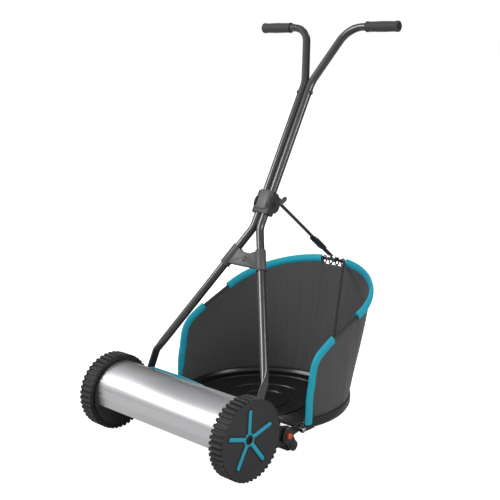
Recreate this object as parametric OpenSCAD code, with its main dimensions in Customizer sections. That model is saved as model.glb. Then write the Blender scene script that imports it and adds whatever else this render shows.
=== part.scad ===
/* [Chassis] */
// Outside distance across the two tyres
overall_w = 545.6; // [460:0.1:660]
// Thickness of each side plate
plate_t = 4.5; // [3:0.5:8]
// Distance of the rear roller behind the wheel axle
roller_back = 200; // [190:1:215]

/* [Wheels] */
// Diameter over the tyre lugs
wheel_d = 210; // [180:1:250]
// Width of the tyre
tyre_w = 45.6; // [42:0.2:60]
// Number of lugs round the tyre
lugs = 44; // [36:4:60]
// Length of each star bar from the wheel centre
star_r = 78; // [60:1:88]
// Width of each star bar
star_w = 9; // [6:0.5:12]

/* [Hood] */
// Thickness of the hood's sheet
hood_t = 1.5; // [1:0.1:2]
// Height of the front flange's lower edge
flange_z = 90; // [85:1:110]

/* [Cutting reel] */
// Cutting diameter of the reel
reel_d = 125; // [105:1:125]
// Number of blades
blades = 5; // [4:1:6]
// Twist of a blade along its length, in degrees
blade_twist = 65; // [40:1:80]
// Gap between the reel and the bed knife
knife_gap = 0.5; // [0.3:0.1:1]

/* [Handle] */
// Backward lean of the handle from upright, in degrees
lean = 28.7; // [26:0.1:31]
// Outside diameter of the handle tubes
tube_d = 22; // [19:0.5:26]
// Wall of the handle tubes
tube_wall = 1.5; // [1:0.1:2.5]
// Distance up the handle where the lower tubes meet
lower_bend_s = 396; // [370:1:405]
// Distance up the handle to the cross bar
bar_s = 1009; // [960:1:1150]
// Length of each grip
grip_l = 106; // [90:1:112]
// Diameter of each grip
grip_d = 30; // [26:0.5:34]

/* [Catcher] */
// Height of the tray's underside above the ground
tray_z = 46; // [40:1:60]
// Front to back half length of the rim's curved rear
rim_rear = 205; // [190:1:215]
// Diameter of the rim wire
rim_d = 9; // [6:0.5:10]
// Width of the hem around the rim
hem_w = 24; // [16:1:28]

/* [Strap] */
// Width of the webbing
strap_w = 20; // [15:1:25]
// Thickness of the webbing
strap_t = 1.6; // [1:0.1:2.5]

/* [Hidden] */
$fn = 64;

// Clearances: a running fit, a seat between fixed pieces, and a gap between pieces that move
run = 0.05;
seat = 0.02;
gap = 0.4;

// Wheel and side plate places across the mower
wheel_r = wheel_d / 2;
axle_z = wheel_r;
tyre_out = overall_w / 2;
tyre_in = tyre_out - tyre_w;
plate_out = tyre_in - 1.2;
plate_in = plate_out - plate_t;
plate_r = wheel_r - 15;
hood_r = plate_r - 2;
cover_r = wheel_r - 4;
rim_out_r = wheel_r - 12;
rim_in_r = rim_out_r - 5;
shroud_r = rim_in_r - 4;
web_x = tyre_out - 21;
gear_w = 12;
stub_r = 8;
bush_r = 10.5;
hub_r = 17;

// Reel and gears: the reel shaft lies where the pinion meets the ring gear
gear_m = 2;
ring_teeth = 52;
pinion_teeth = 12;
gear_offset = gear_m * (ring_teeth - pinion_teeth) / 2;
gear_dir = -18.2;
reel_y = gear_offset * cos(gear_dir);
reel_z = axle_z + gear_offset * sin(gear_dir);
reel_r = reel_d / 2;
reel_shaft_r = 7;
pinion_shaft_r = 5;
bearing_r = 14;
knife_dir = 20;
blade_l = 2 * plate_in - 47;
knife_r = reel_r + knife_gap;
knife_y = reel_y + knife_r * sin(knife_dir);
knife_z = reel_z - knife_r * cos(knife_dir);
knife_x = blade_l / 2 + 7;

// Rear roller, its brackets and the height buttons
roller_r = 18.5;
roller_z = roller_r + 0.5;
roller_x = plate_in - 2.2;
roller_bore = 5;
lobe_y = roller_back - 24;
lobe_z = 54;
lobe_r = 24;
bracket_x = plate_out + 1.2;
bracket_t = 9;
button_r = 8.5;
button_travel = 4;
height_travel = 12;
catcher_pin_y = roller_back + 28;
catcher_pin_z = 57;
catcher_pin_r = 4;

// Handle: s runs up the handle from the bend above the pivots, b points back from the tubes' plane
tube_r = tube_d / 2;
bend_y = 117;
bend_z = axle_z + 99;
foot_x = plate_in - 15.5;
flat_t = 5;
foot_b = 5;
foot_s = -86;
pivot_y = bend_y + foot_s * sin(lean) + foot_b * cos(lean);
pivot_z = bend_z + foot_s * cos(lean) - foot_b * sin(lean);
pivot_r = 4;
pair_x = tube_r + 0.5;
lower_top_s = 453;
hinge_s = 469;
hinge_b = 4;
knuckle_r = 14;
hinge_bolt_r = 4;
upper_foot_s = 486;
block_top_s = 503;
block_foot_s = 449;
cheek_in = pair_x + tube_r + 0.4;
cheek_t = 4.6;
lug_s = 492;
lug_b = 46;
lug_pin_r = 3;
bracket_low_s = 280;
bracket_high_s = 335;
bar_x = plate_out + 15;
spread_s = 838;
spread_x = bar_x - 164;
cross_bolt_s = 805;

// Catcher
tray_r = plate_out + 24;
rim_x = tray_r - 4;
tray_y = 331;
mouth_y = 243;
tray_t = 4;
tray_wall_z = 78;
rim_low_y = 339;
rim_low_z = 278;
rim_slope = 0.409;
rim_side_y = 448;
wall_t = 2.5;
eye_r = 9;
eye_x0 = plate_out + 9;
eye_x1 = eye_x0 + 7;

// Strap from the lug on the handle to the rear of the rim
lug_y = bend_y + lug_s * sin(lean) + lug_b * cos(lean);
lug_z = bend_z + lug_s * cos(lean) - lug_b * sin(lean);
rear_y = rim_side_y + rim_rear;
rear_z = rim_low_z + rim_slope * (rear_y - rim_low_y);
strap_l = norm([lug_y - rear_y, lug_z - rear_z]);
strap_tilt = atan2(rear_y - lug_y, lug_z - rear_z);

// The row's origin is the middle of the mower's box, on the ground
rear_most = rear_y + rim_d / 2 + 2;
mid_y = (rear_most - wheel_r) / 2;

// ---------- helpers ----------

module in_frame() {
  translate([0, -mid_y, 0]) children();
}

// A shape drawn in [y, z], or in the handle's own [b, s], and made solid from x0 to x1
module along_x(x0, x1) {
  translate([x0, 0, 0]) rotate([90, 0, 90]) linear_extrude(x1 - x0) children();
}

// A round bar along X
module bar(y, z, r, x0, x1) {
  translate([x0, y, z]) rotate([0, 90, 0]) cylinder(r = r, h = x1 - x0);
}

// A profile of [radius, x] turned about an X axis at [y, z]
module turned(y, z, profile) {
  translate([0, y, z]) rotate([0, 90, 0]) rotate_extrude() polygon(profile);
}

// The right-hand piece, or its mirror image for the left
module on_side(side) {
  if (side > 0) children();
  else mirror([1, 0, 0]) children();
}

module both_sides() {
  children();
  mirror([1, 0, 0]) children();
}

// Local [x, b, s] in the plane of the handle
module handle_frame() {
  translate([0, bend_y, bend_z]) rotate([-lean, 0, 0]) children();
}

function unit(v) = v / norm(v);
function backward(v) = [for (i = [len(v) - 1 : -1 : 0]) v[i]];
function heading(a, b) = atan2(b[0] - a[0], b[1] - a[1]);
function wrap(a) = a > 180 ? a - 360 : a < -180 ? a + 360 : a;
function turn_at(p, i) = wrap(heading(p[i], p[i + 1]) - heading(p[i - 1], p[i]));
function trim_at(p, bends, i) =
  i == 0 || i == len(p) - 1 ? 0 : bends[i] * tan(abs(turn_at(p, i)) / 2);

// The line [x, s] through points whose inner corners are rounded, each to its own radius
function corner_arc(p, bends, i) =
  let (
    h = heading(p[i - 1], p[i]),
    t = turn_at(p, i),
    a = p[i] - unit(p[i] - p[i - 1]) * trim_at(p, bends, i),
    c = a + sign(t) * bends[i] * [cos(h), -sin(h)],
    steps = ceil(abs(t) / 6)
  ) [for (k = [0 : steps]) let (g = h + t * k / steps) c - sign(t) * bends[i] * [cos(g), -sin(g)]];
function bent_line(p, bends) = concat(
  [p[0]], [for (i = [1 : len(p) - 2]) each corner_arc(p, bends, i)], [p[len(p) - 1]]
);

// Rings of a round section carried along a line in the X-Z plane
pipe_sides = 20;
function pipe_rings(line, r) = path_rings(
  [for (q = line) [q[0], 0, q[1]]], [for (q = line) [0, 1, 0]], ellipse(r, r, pipe_sides)
);

// A bent tube, open at both ends
module pipe(p, bends, r_out, r_in) {
  line = bent_line(p, bends);
  rings = concat(pipe_rings(line, r_out), backward(pipe_rings(line, r_in)));
  n = len(rings);
  m = pipe_sides;
  polyhedron(
    points = [for (ring = rings) each ring],
    faces = [
      for (i = [0 : n - 1], j = [0 : m - 1]) let (k = (i + 1) % n) each [
        [i * m + j, i * m + (j + 1) % m, k * m + (j + 1) % m],
        [i * m + j, k * m + (j + 1) % m, k * m + j]
      ]
    ]
  );
}

// A closed solid through rings of points, every ring with the same number of points
module loft(rings) {
  n = len(rings);
  m = len(rings[0]);
  polyhedron(
    points = [for (ring = rings) each ring],
    faces = [
      for (i = [0 : n - 2], j = [0 : m - 1]) each [
        [i * m + j, i * m + (j + 1) % m, (i + 1) * m + (j + 1) % m],
        [i * m + j, (i + 1) * m + (j + 1) % m, (i + 1) * m + j]
      ],
      for (j = [1 : m - 2]) [0, j + 1, j],
      for (j = [1 : m - 2]) [(n - 1) * m, (n - 1) * m + j, (n - 1) * m + j + 1]
    ]
  );
}

// Rings of an outline [outward, upward] carried along a path; outs are the outward directions
function path_rings(path, outs, outline) = [
  for (i = [0 : len(path) - 1])
    let (
      t = unit(path[min(i + 1, len(path) - 1)] - path[max(i - 1, 0)]),
      o = unit(outs[i] - t * (outs[i] * t)),
      u = cross(t, o)
    ) [for (q = outline) path[i] + o * q[0] + u * q[1]]
];

function ellipse(a, b, sides) = [for (k = [0 : sides - 1]) [a * cos(k * 360 / sides), -b * sin(k * 360 / sides)]];

// ---------- gear outlines ----------

function roll(rb, r) = r <= rb ? 0 : sqrt(pow(r / rb, 2) - 1) * 180 / PI;
function inv(rb, r) = roll(rb, r) - (r <= rb ? 0 : acos(rb / r));

// Half angle of a tooth at radius r, with involute flanks of 20 degrees and the pitch tooth eased by play
function half_tooth(z, r, play) =
  let (rp = gear_m * z / 2, rb = rp * cos(20))
  90 / z - play / rp * 180 / PI + inv(rb, rp) - inv(rb, r);

function gear_points(z, low, high, play) = [
  for (k = [0 : z - 1], q = [[low, -1], [0.5, -1], [high, -1], [high, 1], [0.5, 1], [low, 1]])
    let (
      r = q[0] == 0.5 ? gear_m * z / 2 : q[0],
      a = k * 360 / z + q[1] * half_tooth(z, r, play)
    ) [r * cos(a), r * sin(a)]
];

module pinion_outline() {
  pitch = gear_m * pinion_teeth / 2;
  rotate(gear_dir) polygon(gear_points(pinion_teeth, pitch - 1.2 * gear_m, pitch + 0.8 * gear_m, 0.22));
}

module ring_space() {
  pitch = gear_m * ring_teeth / 2;
  rotate(gear_dir) polygon(gear_points(ring_teeth, pitch - 0.75 * gear_m, pitch + 1.1 * gear_m, -0.1));
}

// ---------- chassis ----------

module plate_outline() {
  translate([0, axle_z]) circle(plate_r);
  hull() {
    translate([70, axle_z - 40]) circle(42);
    translate([lobe_y, lobe_z]) circle(lobe_r);
  }
  hull() {
    translate([lobe_y, lobe_z]) circle(lobe_r - 8);
    translate([catcher_pin_y, catcher_pin_z]) circle(eye_r);
  }
  hull() {
    translate([40, axle_z]) circle(30);
    translate([pivot_y, pivot_z]) circle(18);
  }
}

module side_plate(side) {
  boss_in = foot_x + flat_t + 0.6;
  slot_h = height_travel + catcher_pin_r + gap;
  on_side(side) difference() {
    union() {
      along_x(plate_in, plate_out) plate_outline();
      bar(pivot_y, pivot_z, 12, boss_in, plate_in);
      bar(reel_y, reel_z, bearing_r + 4, plate_in - 7, plate_out);
      bar(0, axle_z, 15, plate_in - 4, plate_out + 1);
      turned(0, axle_z, [[shroud_r - 3, plate_out], [shroud_r, plate_out],
        [shroud_r, plate_out + 8], [shroud_r - 3, plate_out + 8]]);
      intersection() {
        turned(0, axle_z, [[hood_r - hood_t - 4, plate_in - 8], [hood_r - hood_t - 0.1, plate_in - 8],
          [hood_r - hood_t - 0.1, plate_in], [hood_r - hood_t - 4, plate_in]]);
        along_x(plate_in - 8, plate_in) polygon([[50, axle_z + 60], [0, axle_z + 120],
          [-100, axle_z + 120], [-100, axle_z + 60], [-50, axle_z + 45], [50, axle_z + 45]]);
      }
    }
    bar(0, axle_z, stub_r, plate_in - 20, plate_out + 20);
    bar(reel_y, reel_z, bearing_r, plate_in - 20, plate_out - 1.5);
    bar(reel_y, reel_z, bearing_r - 3, plate_in - 20, plate_out + 20);
    bar(pivot_y, pivot_z, pivot_r, boss_in - 1, plate_out - 2);
    bar(catcher_pin_y, catcher_pin_z, catcher_pin_r, plate_in - 1, plate_out + 1);
    bar(lobe_y, lobe_z + height_travel, catcher_pin_r + gap, plate_in - 1, plate_out + 1);
    bar(lobe_y, lobe_z - height_travel, catcher_pin_r + gap, plate_in - 1, plate_out + 1);
    translate([plate_in - 1, lobe_y - catcher_pin_r - gap, lobe_z - height_travel])
      cube([plate_t + 2, 2 * (catcher_pin_r + gap), 2 * height_travel]);
    bar(cross_y + cross_t / 2, cross_z + 7, screw_head_r + 0.4, plate_out, plate_out + 20);
  }
}

module side_plate_left() color("#232426") in_frame() side_plate(-1);
module side_plate_right() color("#232426") in_frame() side_plate(1);

// The hood's outer line: round over the top, then a tighter bend, a front face and a flange
hood_blend_r = 50;
hood_rear_a = 54;
hood_turn_a = 146;
hood_front_a = 170;
crease_z = axle_z + 10;
crease_y = 6.5 - hood_r;
flange_y = 9 - hood_r;
function polar(c, r, a) = [c[0] + r * cos(a), c[1] + r * sin(a)];
function hood_line(d) =
  let (c = polar([0, axle_z], hood_r - hood_blend_r, hood_turn_a)) concat(
    [for (a = [hood_rear_a : 4 : hood_turn_a]) polar([0, axle_z], hood_r - d, a)],
    [for (a = [hood_turn_a + 4 : 4 : hood_front_a]) polar(c, hood_blend_r - d, a)],
    [[crease_y + d, crease_z], [flange_y + d, flange_z]]
  );

module hood() color("#c9cacb") in_frame()
  along_x(-plate_in + seat, plate_in - seat) polygon(concat(hood_line(0), backward(hood_line(hood_t))));

// The cross member is a plate on edge with a raised middle and a stiffening flange
cross_y = hood_r * 0.716;
cross_t = 3;
cross_z = axle_z + hood_r * 0.545;
module rear_cross_member() color("#0097a8") in_frame() {
  x = plate_in - seat;
  union() {
    translate([0, cross_y + cross_t, cross_z]) rotate([90, 0, 0]) linear_extrude(cross_t) polygon([
      [-x, 0], [x, 0], [x, 14], [0.23 * x, 14.5], [0.14 * x, 19], [-0.18 * x, 23],
      [-0.68 * x, 23], [-0.9 * x, 15], [-x, 13]
    ]);
    translate([-x, cross_y + cross_t, cross_z]) cube([2 * x, 6, cross_t]);
  }
}

screw_head_r = 5;
tie_y = -44;
tie_z = axle_z + 32;
tie_r = 5;
module front_tie_rod() color("#8d9093") in_frame() bar(tie_y, tie_z, tie_r, -plate_in + seat, plate_in - seat);

carrier_y = knife_y + 13;
carrier_t = 4.5;
carrier_w = 27;
carrier_h = 26;
knife_t = 2.4;
module carrier_outline() {
  translate([carrier_y, knife_z]) square([carrier_w, carrier_t]);
  translate([carrier_y + carrier_w - carrier_t, knife_z]) square([carrier_t, carrier_h]);
}
screw_x = [for (i = [-2 : 2]) i * blade_l * 0.215];
screw_y = carrier_y + 8;
module bed_knife_carrier() color("#2c2d2f") in_frame() difference() {
  along_x(-plate_in + seat, plate_in - seat) carrier_outline();
  for (x = screw_x) translate([x, screw_y, knife_z - 1]) cylinder(r = 3, h = carrier_t + 2);
}
module bed_knife() color("#9a9da0") in_frame() difference() {
  along_x(-knife_x, knife_x) polygon([
    [knife_y, knife_z - 0.8], [knife_y, knife_z - seat], [knife_y + 34, knife_z - seat],
    [knife_y + 34, knife_z - knife_t], [knife_y + 2.5, knife_z - knife_t]
  ]);
  for (x = screw_x) translate([x, screw_y, knife_z - 5]) cylinder(r = 3, h = 10);
}
module bed_knife_screws() color("#7c7f82") in_frame() {
  for (x = screw_x) union() {
    translate([x, screw_y, knife_z - knife_t]) cylinder(r = 3, h = knife_t + carrier_t);
    translate([x, screw_y, knife_z - knife_t - 2]) cylinder(r1 = 4, r2 = 5.5, h = 2);
  }
  both_sides() translate([plate_in - 9, carrier_y + 12, knife_z + carrier_t]) union() {
    cylinder(r = 3, h = 22);
    translate([0, 0, 14]) cylinder(r = 5.5, h = 5, $fn = 6);
  }
}

// ---------- wheels ----------

stub_end = web_x - 3;
module wheel_stub(side) on_side(side) union() {
  bar(0, axle_z, stub_r, plate_in - 6, stub_end);
  bar(0, axle_z, stub_r + 4, plate_in - 6, plate_in - 4);
}
module wheel_stub_left() color("#a5a8ab") in_frame() wheel_stub(-1);
module wheel_stub_right() color("#a5a8ab") in_frame() wheel_stub(1);

module wheel_retainers() color("#a5a8ab") in_frame() both_sides() union() {
  bar(0, axle_z, bush_r - 0.7, stub_end, stub_end + 1.5);
  bar(0, axle_z, 5, stub_end + 1.5, stub_end + 5);
}

module reel_bearings() color("#b98a3c") in_frame() both_sides() difference() {
  bar(reel_y, reel_z, bearing_r - seat, plate_in - 6.5, plate_out - 1.5 - seat);
  bar(reel_y, reel_z, reel_shaft_r + run, plate_in - 10, plate_out + 1);
}

// The drum of the wheel, open towards the mower, with the ring gear moulded inside it
module wheel(side) on_side(side) difference() {
  union() {
    turned(0, axle_z, [
      [bush_r, tyre_in + 2], [hub_r, tyre_in + 2], [hub_r, web_x], [rim_in_r, web_x],
      [rim_in_r, tyre_in + 1.5], [rim_out_r, tyre_in + 1.5], [rim_out_r, tyre_out - 8.6],
      [rim_in_r, tyre_out - 8.6], [rim_in_r, web_x + 3], [bush_r, web_x + 3]
    ]);
    difference() {
      bar(0, axle_z, gear_m * ring_teeth / 2 + 7, web_x - gear_w - 1, web_x);
      along_x(web_x - gear_w - 2, web_x) translate([0, axle_z]) ring_space();
    }
  }
  bar(0, axle_z, bush_r, tyre_in, tyre_out);
}
module wheel_left() color("#2b2c2e") in_frame() wheel(-1);
module wheel_right() color("#2b2c2e") in_frame() wheel(1);

// Lugs round the tyre, one of them straight down
function lug_outline() = [
  for (k = [0 : lugs - 1], q = [[-0.36, -6], [-0.27, 0], [0.27, 0], [0.36, -6]])
    let (a = -90 + (k + q[0]) * 360 / lugs, r = wheel_r + q[1]) [r * cos(a), r * sin(a)]
];
module tyre(side) on_side(side) difference() {
  along_x(tyre_in, tyre_out) translate([0, axle_z]) polygon(lug_outline());
  bar(0, axle_z, rim_out_r, tyre_in - 1, tyre_out + 1);
  bar(0, axle_z, cover_r + 0.3, tyre_out - 8.7, tyre_out + 1);
}
module tyre_left() color("#1b1b1c") in_frame() tyre(-1);
module tyre_right() color("#1b1b1c") in_frame() tyre(1);

// The cover's face is dished: [radius, distance in from the tyre's outer face]
cover_face = [[12.5, 11], [30, 9.8], [60, 7.8], [cover_r - 13, 5], [cover_r - 5, 2.6]];
cover_t = 2.6;
module wheel_cover(side) on_side(side) turned(0, axle_z, concat(
  [for (q = cover_face) [q[0], tyre_out - q[1]]],
  [[cover_r, tyre_out - 1.2], [cover_r, tyre_out - 1.2 - cover_t]],
  [[cover_r - 5, tyre_out - 5.8], [cover_r - 11, tyre_out - 8.4]],
  [[60, tyre_out - 7.8 - cover_t], [30, tyre_out - 9.8 - cover_t], [12.5, tyre_out - 11 - cover_t]]
));
module wheel_cover_left() color("#2e2f31") in_frame() wheel_cover(-1);
module wheel_cover_right() color("#2e2f31") in_frame() wheel_cover(1);

star_rise = 1.6;
star_hub_r = 17;
module star_outline() {
  difference() {
    union() {
      circle(star_hub_r);
      for (k = [0 : 4]) rotate(90 + 72 * k) {
        translate([0, -star_w / 2]) square([star_r - star_w / 2, star_w]);
        translate([star_r - star_w / 2, 0]) circle(star_w / 2);
      }
    }
    circle(12.5);
  }
}
module wheel_star(side) on_side(side) intersection() {
  along_x(tyre_out - 15, tyre_out) translate([0, axle_z]) star_outline();
  turned(0, axle_z, concat(
    [for (q = cover_face) [q[0], tyre_out - q[1] + star_rise]],
    [for (q = backward(cover_face)) [q[0], tyre_out - q[1]]]
  ));
}
module wheel_star_left() color("#00a0b4") in_frame() wheel_star(-1);
module wheel_star_right() color("#00a0b4") in_frame() wheel_star(1);

module hub_cap(side) on_side(side) difference() {
  turned(0, axle_z, [[0, tyre_out - 15], [12.3, tyre_out - 15], [12.3, tyre_out - 9.4],
    [10.5, tyre_out - 8.4], [0, tyre_out - 8.4]]);
  translate([tyre_out - 12, 0, axle_z]) rotate([0, 90, 0]) cylinder(r = 7, h = 10, $fn = 6);
}
module hub_cap_left() color("#151516") in_frame() hub_cap(-1);
module hub_cap_right() color("#151516") in_frame() hub_cap(1);

module wheel_bush(side) on_side(side) difference() {
  bar(0, axle_z, bush_r, tyre_in + 2, stub_end - 1);
  bar(0, axle_z, stub_r + run, tyre_in, tyre_out);
}
module wheel_bush_left() color("#d8d4c8") in_frame() wheel_bush(-1);
module wheel_bush_right() color("#d8d4c8") in_frame() wheel_bush(1);

// ---------- reel ----------

shaft_end = web_x - 1.5;
pinion_x = web_x - gear_w - 0.5;
module pinion(side) on_side(side) difference() {
  along_x(pinion_x, shaft_end - 0.5) translate([reel_y, reel_z]) pinion_outline();
  bar(reel_y, reel_z, pinion_shaft_r + run, pinion_x - 1, shaft_end + 1);
}
module pinion_left() color("#b9b5a8") in_frame() pinion(-1);
module pinion_right() color("#b9b5a8") in_frame() pinion(1);

pawl_t = 3;
module pawl_slot(extra) {
  l = 2 * pinion_shaft_r + extra;
  both_sides() translate([plate_out + 2, reel_y - pawl_t / 2, reel_z - l / 2]) cube([6, pawl_t, l]);
}
module reel_shaft() color("#a5a8ab") in_frame() difference() {
  union() {
    bar(reel_y, reel_z, reel_shaft_r, -plate_out, plate_out);
    bar(reel_y, reel_z, pinion_shaft_r, -shaft_end, shaft_end);
  }
  pawl_slot(2);
}
module reel_pawls() color("#8d9093") in_frame() pawl_slot(-1);

spider_x = [-0.48, -0.16, 0.16, 0.48] * blade_l;
blade_in_r = reel_r - 16;
spider_t = 4;
module reel_spiders() color("#3a3b3d") in_frame() for (x = spider_x) difference() {
  bar(reel_y, reel_z, blade_in_r + 2, x - spider_t / 2, x + spider_t / 2);
  bar(reel_y, reel_z, reel_shaft_r + seat, x - spider_t, x + spider_t);
  for (k = [0 : 4]) translate([x, reel_y, reel_z]) rotate([k * 72 + 30, 0, 0])
    translate([-spider_t, 28, 0]) rotate([0, 90, 0]) cylinder(r = 10, h = 2 * spider_t);
}

// One blade is a flat strip wound round the reel, its cutting edge leading
blade_t = 3;
blade_steps = 22;
function blade_ring(k, i) =
  let (
    x = (i / blade_steps - 0.5) * blade_l,
    a = k * 360 / blades + (i / blade_steps - 0.5) * blade_twist - 40,
    half = blade_t / 2 / reel_r * 180 / PI
  ) [for (q = [[blade_in_r, -half - 9], [reel_r - 1.5, -half], [reel_r, -half], [reel_r, half],
      [blade_in_r, half - 9]])
      [x, reel_y + q[0] * cos(a + q[1]), reel_z + q[0] * sin(a + q[1])]];
module reel_blades() color("#6d7073") in_frame()
  for (k = [0 : blades - 1]) loft([for (i = [0 : blade_steps]) backward(blade_ring(k, i))]);

// ---------- rear roller and height adjustment ----------

module roller_bracket(side) on_side(side) difference() {
  union() {
    bar(lobe_y, lobe_z, 20, bracket_x, bracket_x + bracket_t);
    bar(roller_back, roller_z, 14, bracket_x, bracket_x + 7);
    along_x(bracket_x, bracket_x + 5) hull() {
      translate([lobe_y, lobe_z]) circle(17);
      translate([roller_back, roller_z]) circle(13);
    }
  }
  bar(lobe_y, lobe_z, catcher_pin_r + run, bracket_x - 1, bracket_x + bracket_t);
  bar(lobe_y, lobe_z, button_r + gap, bracket_x + 3, bracket_x + bracket_t + 1);
  bar(roller_back, roller_z, roller_bore - 1, bracket_x - 1, bracket_x + 5);
}
module roller_bracket_left() color("#262729") in_frame() roller_bracket(-1);
module roller_bracket_right() color("#262729") in_frame() roller_bracket(1);

module roller_axle() color("#a5a8ab") in_frame()
  bar(roller_back, roller_z, roller_bore - 1, -bracket_x - 5, bracket_x + 5);

module rear_roller() color("#1f2022") in_frame() difference() {
  turned(roller_back, roller_z, [
    [0, -roller_x], [roller_r - 2, -roller_x], [roller_r, -roller_x + 2], [roller_r, -6],
    [roller_r - 2.5, -4], [roller_r - 2.5, 4], [roller_r, 6], [roller_r, roller_x - 2],
    [roller_r - 2, roller_x], [0, roller_x]
  ]);
  bar(roller_back, roller_z, roller_bore - 1 + run, -roller_x - 1, roller_x + 1);
}

module height_button(side) on_side(side) {
  head = bracket_x + 3 + button_travel + gap;
  translate([0, lobe_y, lobe_z]) rotate([0, 90, 0]) rotate_extrude() polygon([
    [0, plate_in - 1], [catcher_pin_r, plate_in - 1], [catcher_pin_r, head], [button_r, head],
    [button_r, head + 6], [button_r - 2, head + 8.5], [0, head + 9.5]
  ]);
}
module height_button_left() color("#e2461f") in_frame() height_button(-1);
module height_button_right() color("#e2461f") in_frame() height_button(1);

module catcher_pins() color("#8d9093") in_frame() both_sides() union() {
  bar(catcher_pin_y, catcher_pin_z, catcher_pin_r, plate_in, eye_x1 + 1);
  bar(catcher_pin_y, catcher_pin_z, catcher_pin_r + 2.5, eye_x1 + 1, eye_x1 + 3);
}

module chassis_screws() color("#8d9093") in_frame() both_sides()
  for (p = [[tie_y, tie_z], [carrier_y + 16, knife_z + 12], [cross_y + cross_t / 2, cross_z + 7]])
    bar(p[0], p[1], screw_head_r, plate_out, plate_out + 1);

module handle_pivot_bolts() color("#8d9093") in_frame() both_sides() union() {
  head = foot_x - flat_t / 2 - 0.3;
  bar(pivot_y, pivot_z, pivot_r, head - 1, plate_out - 2.5);
  turned(pivot_y, pivot_z, [[0, head - 4.4], [5, head - 4.4], [7, head - 2.4], [7, head], [0, head]]);
}

// ---------- lower handle ----------

lower_path = [[foot_x, 0], [pair_x, lower_bend_s], [pair_x, lower_top_s]];
lower_lean = atan2(foot_x - pair_x, lower_bend_s);
lower_bends = [0, 60, 0];
flat_top_s = 30;
function on_lower(s) = [foot_x - s * tan(lower_lean), s];

// Each lower tube starts as a flattened end and rounds out into the tube:
// [s, half thickness, half width, shift back, squareness]
flat_w = 13;
flat_sections = [
  [foot_s - flat_w, flat_t / 2 - 0.3, 4, foot_b, 0.5], [foot_s - 10, flat_t / 2, 9, foot_b, 0.4],
  [foot_s - 5, flat_t / 2, 12, foot_b, 0.4], [foot_s + 2, flat_t / 2, flat_w, foot_b, 0.4],
  [-8, flat_t / 2, flat_w, 0, 0.4], [5, 4.4, tube_r + 1.6, 0, 0.7], [14, 8, tube_r + 0.8, 0, 1]
];
function squared(v, p) = sign(v) * pow(abs(v), p);
flat_rings = [for (q = flat_sections) [for (e = ellipse(1, 1, pipe_sides)) [
  on_lower(max(q[0], 0))[0] - q[1] * squared(e[1], q[4]), q[3] + q[2] * squared(e[0], q[4]), q[0]
]]];
module lower_tube(side) handle_frame() on_side(side) difference() {
  line = bent_line([on_lower(flat_top_s), lower_path[1], lower_path[2]], lower_bends);
  loft(concat(flat_rings, pipe_rings(line, tube_r), backward(pipe_rings(line, tube_r - tube_wall))));
  translate([0, foot_b, foot_s]) rotate([0, 90, 0]) cylinder(r = pivot_r + run, h = foot_x * 2);
}
module lower_tube_left() color("#3b3d40") in_frame() lower_tube(-1);
module lower_tube_right() color("#3b3d40") in_frame() lower_tube(1);

module lower_tube_bores() both_sides()
  translate([on_lower(bracket_low_s - 40)[0], 0, bracket_low_s - 40]) rotate([0, -lower_lean, 0])
    cylinder(r = tube_r + seat, h = bracket_high_s - bracket_low_s + 90);

module y_bracket() color("#505255") in_frame() handle_frame() difference() {
  union() {
    both_sides() translate([on_lower(bracket_low_s)[0], 0, bracket_low_s]) rotate([0, -lower_lean, 0])
      cylinder(r = tube_r + 3.5, h = (bracket_high_s - bracket_low_s) / cos(lower_lean));
    translate([0, 7, 0]) rotate([90, 0, 0]) linear_extrude(14) polygon([
      [-on_lower(284)[0], 284], [on_lower(284)[0], 284], [on_lower(328)[0], 334],
      [26, 328], [14, 322], [-14, 322], [-26, 328], [-on_lower(328)[0], 334]
    ]);
  }
  lower_tube_bores();
  translate([0, 1, (284 + 322) / 2]) rotate([90, 0, 0]) cylinder(r = 3, h = 20);
  translate([0, -5, (284 + 322) / 2]) rotate([90, 0, 0]) cylinder(r = 6.5, h = 20);
}
module y_bracket_screw() color("#8d9093") in_frame() handle_frame()
  translate([0, 1, (284 + 322) / 2]) rotate([90, 0, 0]) difference() {
    union() {
      cylinder(r = 3, h = 6);
      translate([0, 0, 6]) cylinder(r1 = 6, r2 = 4.5, h = 2.5);
    }
    translate([-0.8, -3, 7]) cube([1.6, 6, 3]);
    translate([-3, -0.8, 7]) cube([6, 1.6, 3]);
  }

// The lower half of the folding joint: a socket round the lower tubes and two cheeks
module hinge_block_lower() color("#38393b") in_frame() handle_frame() difference() {
  socket_top = hinge_s - knuckle_r - gap;
  cheek_out = cheek_in + cheek_t;
  union() {
    translate([-cheek_out, -tube_r - 1.5, block_foot_s - 12])
      cube([2 * cheek_out, 2 * tube_r + 5, socket_top - block_foot_s + 12]);
    both_sides() along_x(cheek_in, cheek_out) {
      translate([hinge_b + 2, hinge_s]) circle(24);
      translate([-tube_r - 1.5, block_foot_s - 12]) square([2 * tube_r + 5, hinge_s - block_foot_s + 12]);
      polygon([[-tube_r - 1.5, hinge_s - 10], [hinge_b + 26, hinge_s], [tube_r + 10, hinge_s + 22],
        [tube_r - 2, block_top_s - 2], [-tube_r - 1.5, block_top_s - 2]]);
    }
  }
  both_sides() translate([pair_x, 0, block_foot_s - 20]) cylinder(r = tube_r + seat, h = 60);
  translate([-100, hinge_b, hinge_s]) rotate([0, 90, 0]) cylinder(r = hinge_bolt_r, h = 200);
  both_sides() translate([cheek_out - 2, hinge_b, hinge_s]) rotate([0, 90, 0]) cylinder(r = 8, h = 20);
}
module hinge_bolt() color("#202123") in_frame() handle_frame() translate([0, hinge_b, hinge_s]) {
  out = cheek_in + cheek_t - 2;
  rotate([0, 90, 0]) union() {
    translate([0, 0, -out]) cylinder(r = hinge_bolt_r, h = 2 * out);
    translate([0, 0, out]) cylinder(r = 6.5, h = 1.8, $fn = 6);
    translate([0, 0, -out - 1.8]) cylinder(r = 6.5, h = 1.8);
  }
}

// ---------- upper handle ----------

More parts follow.
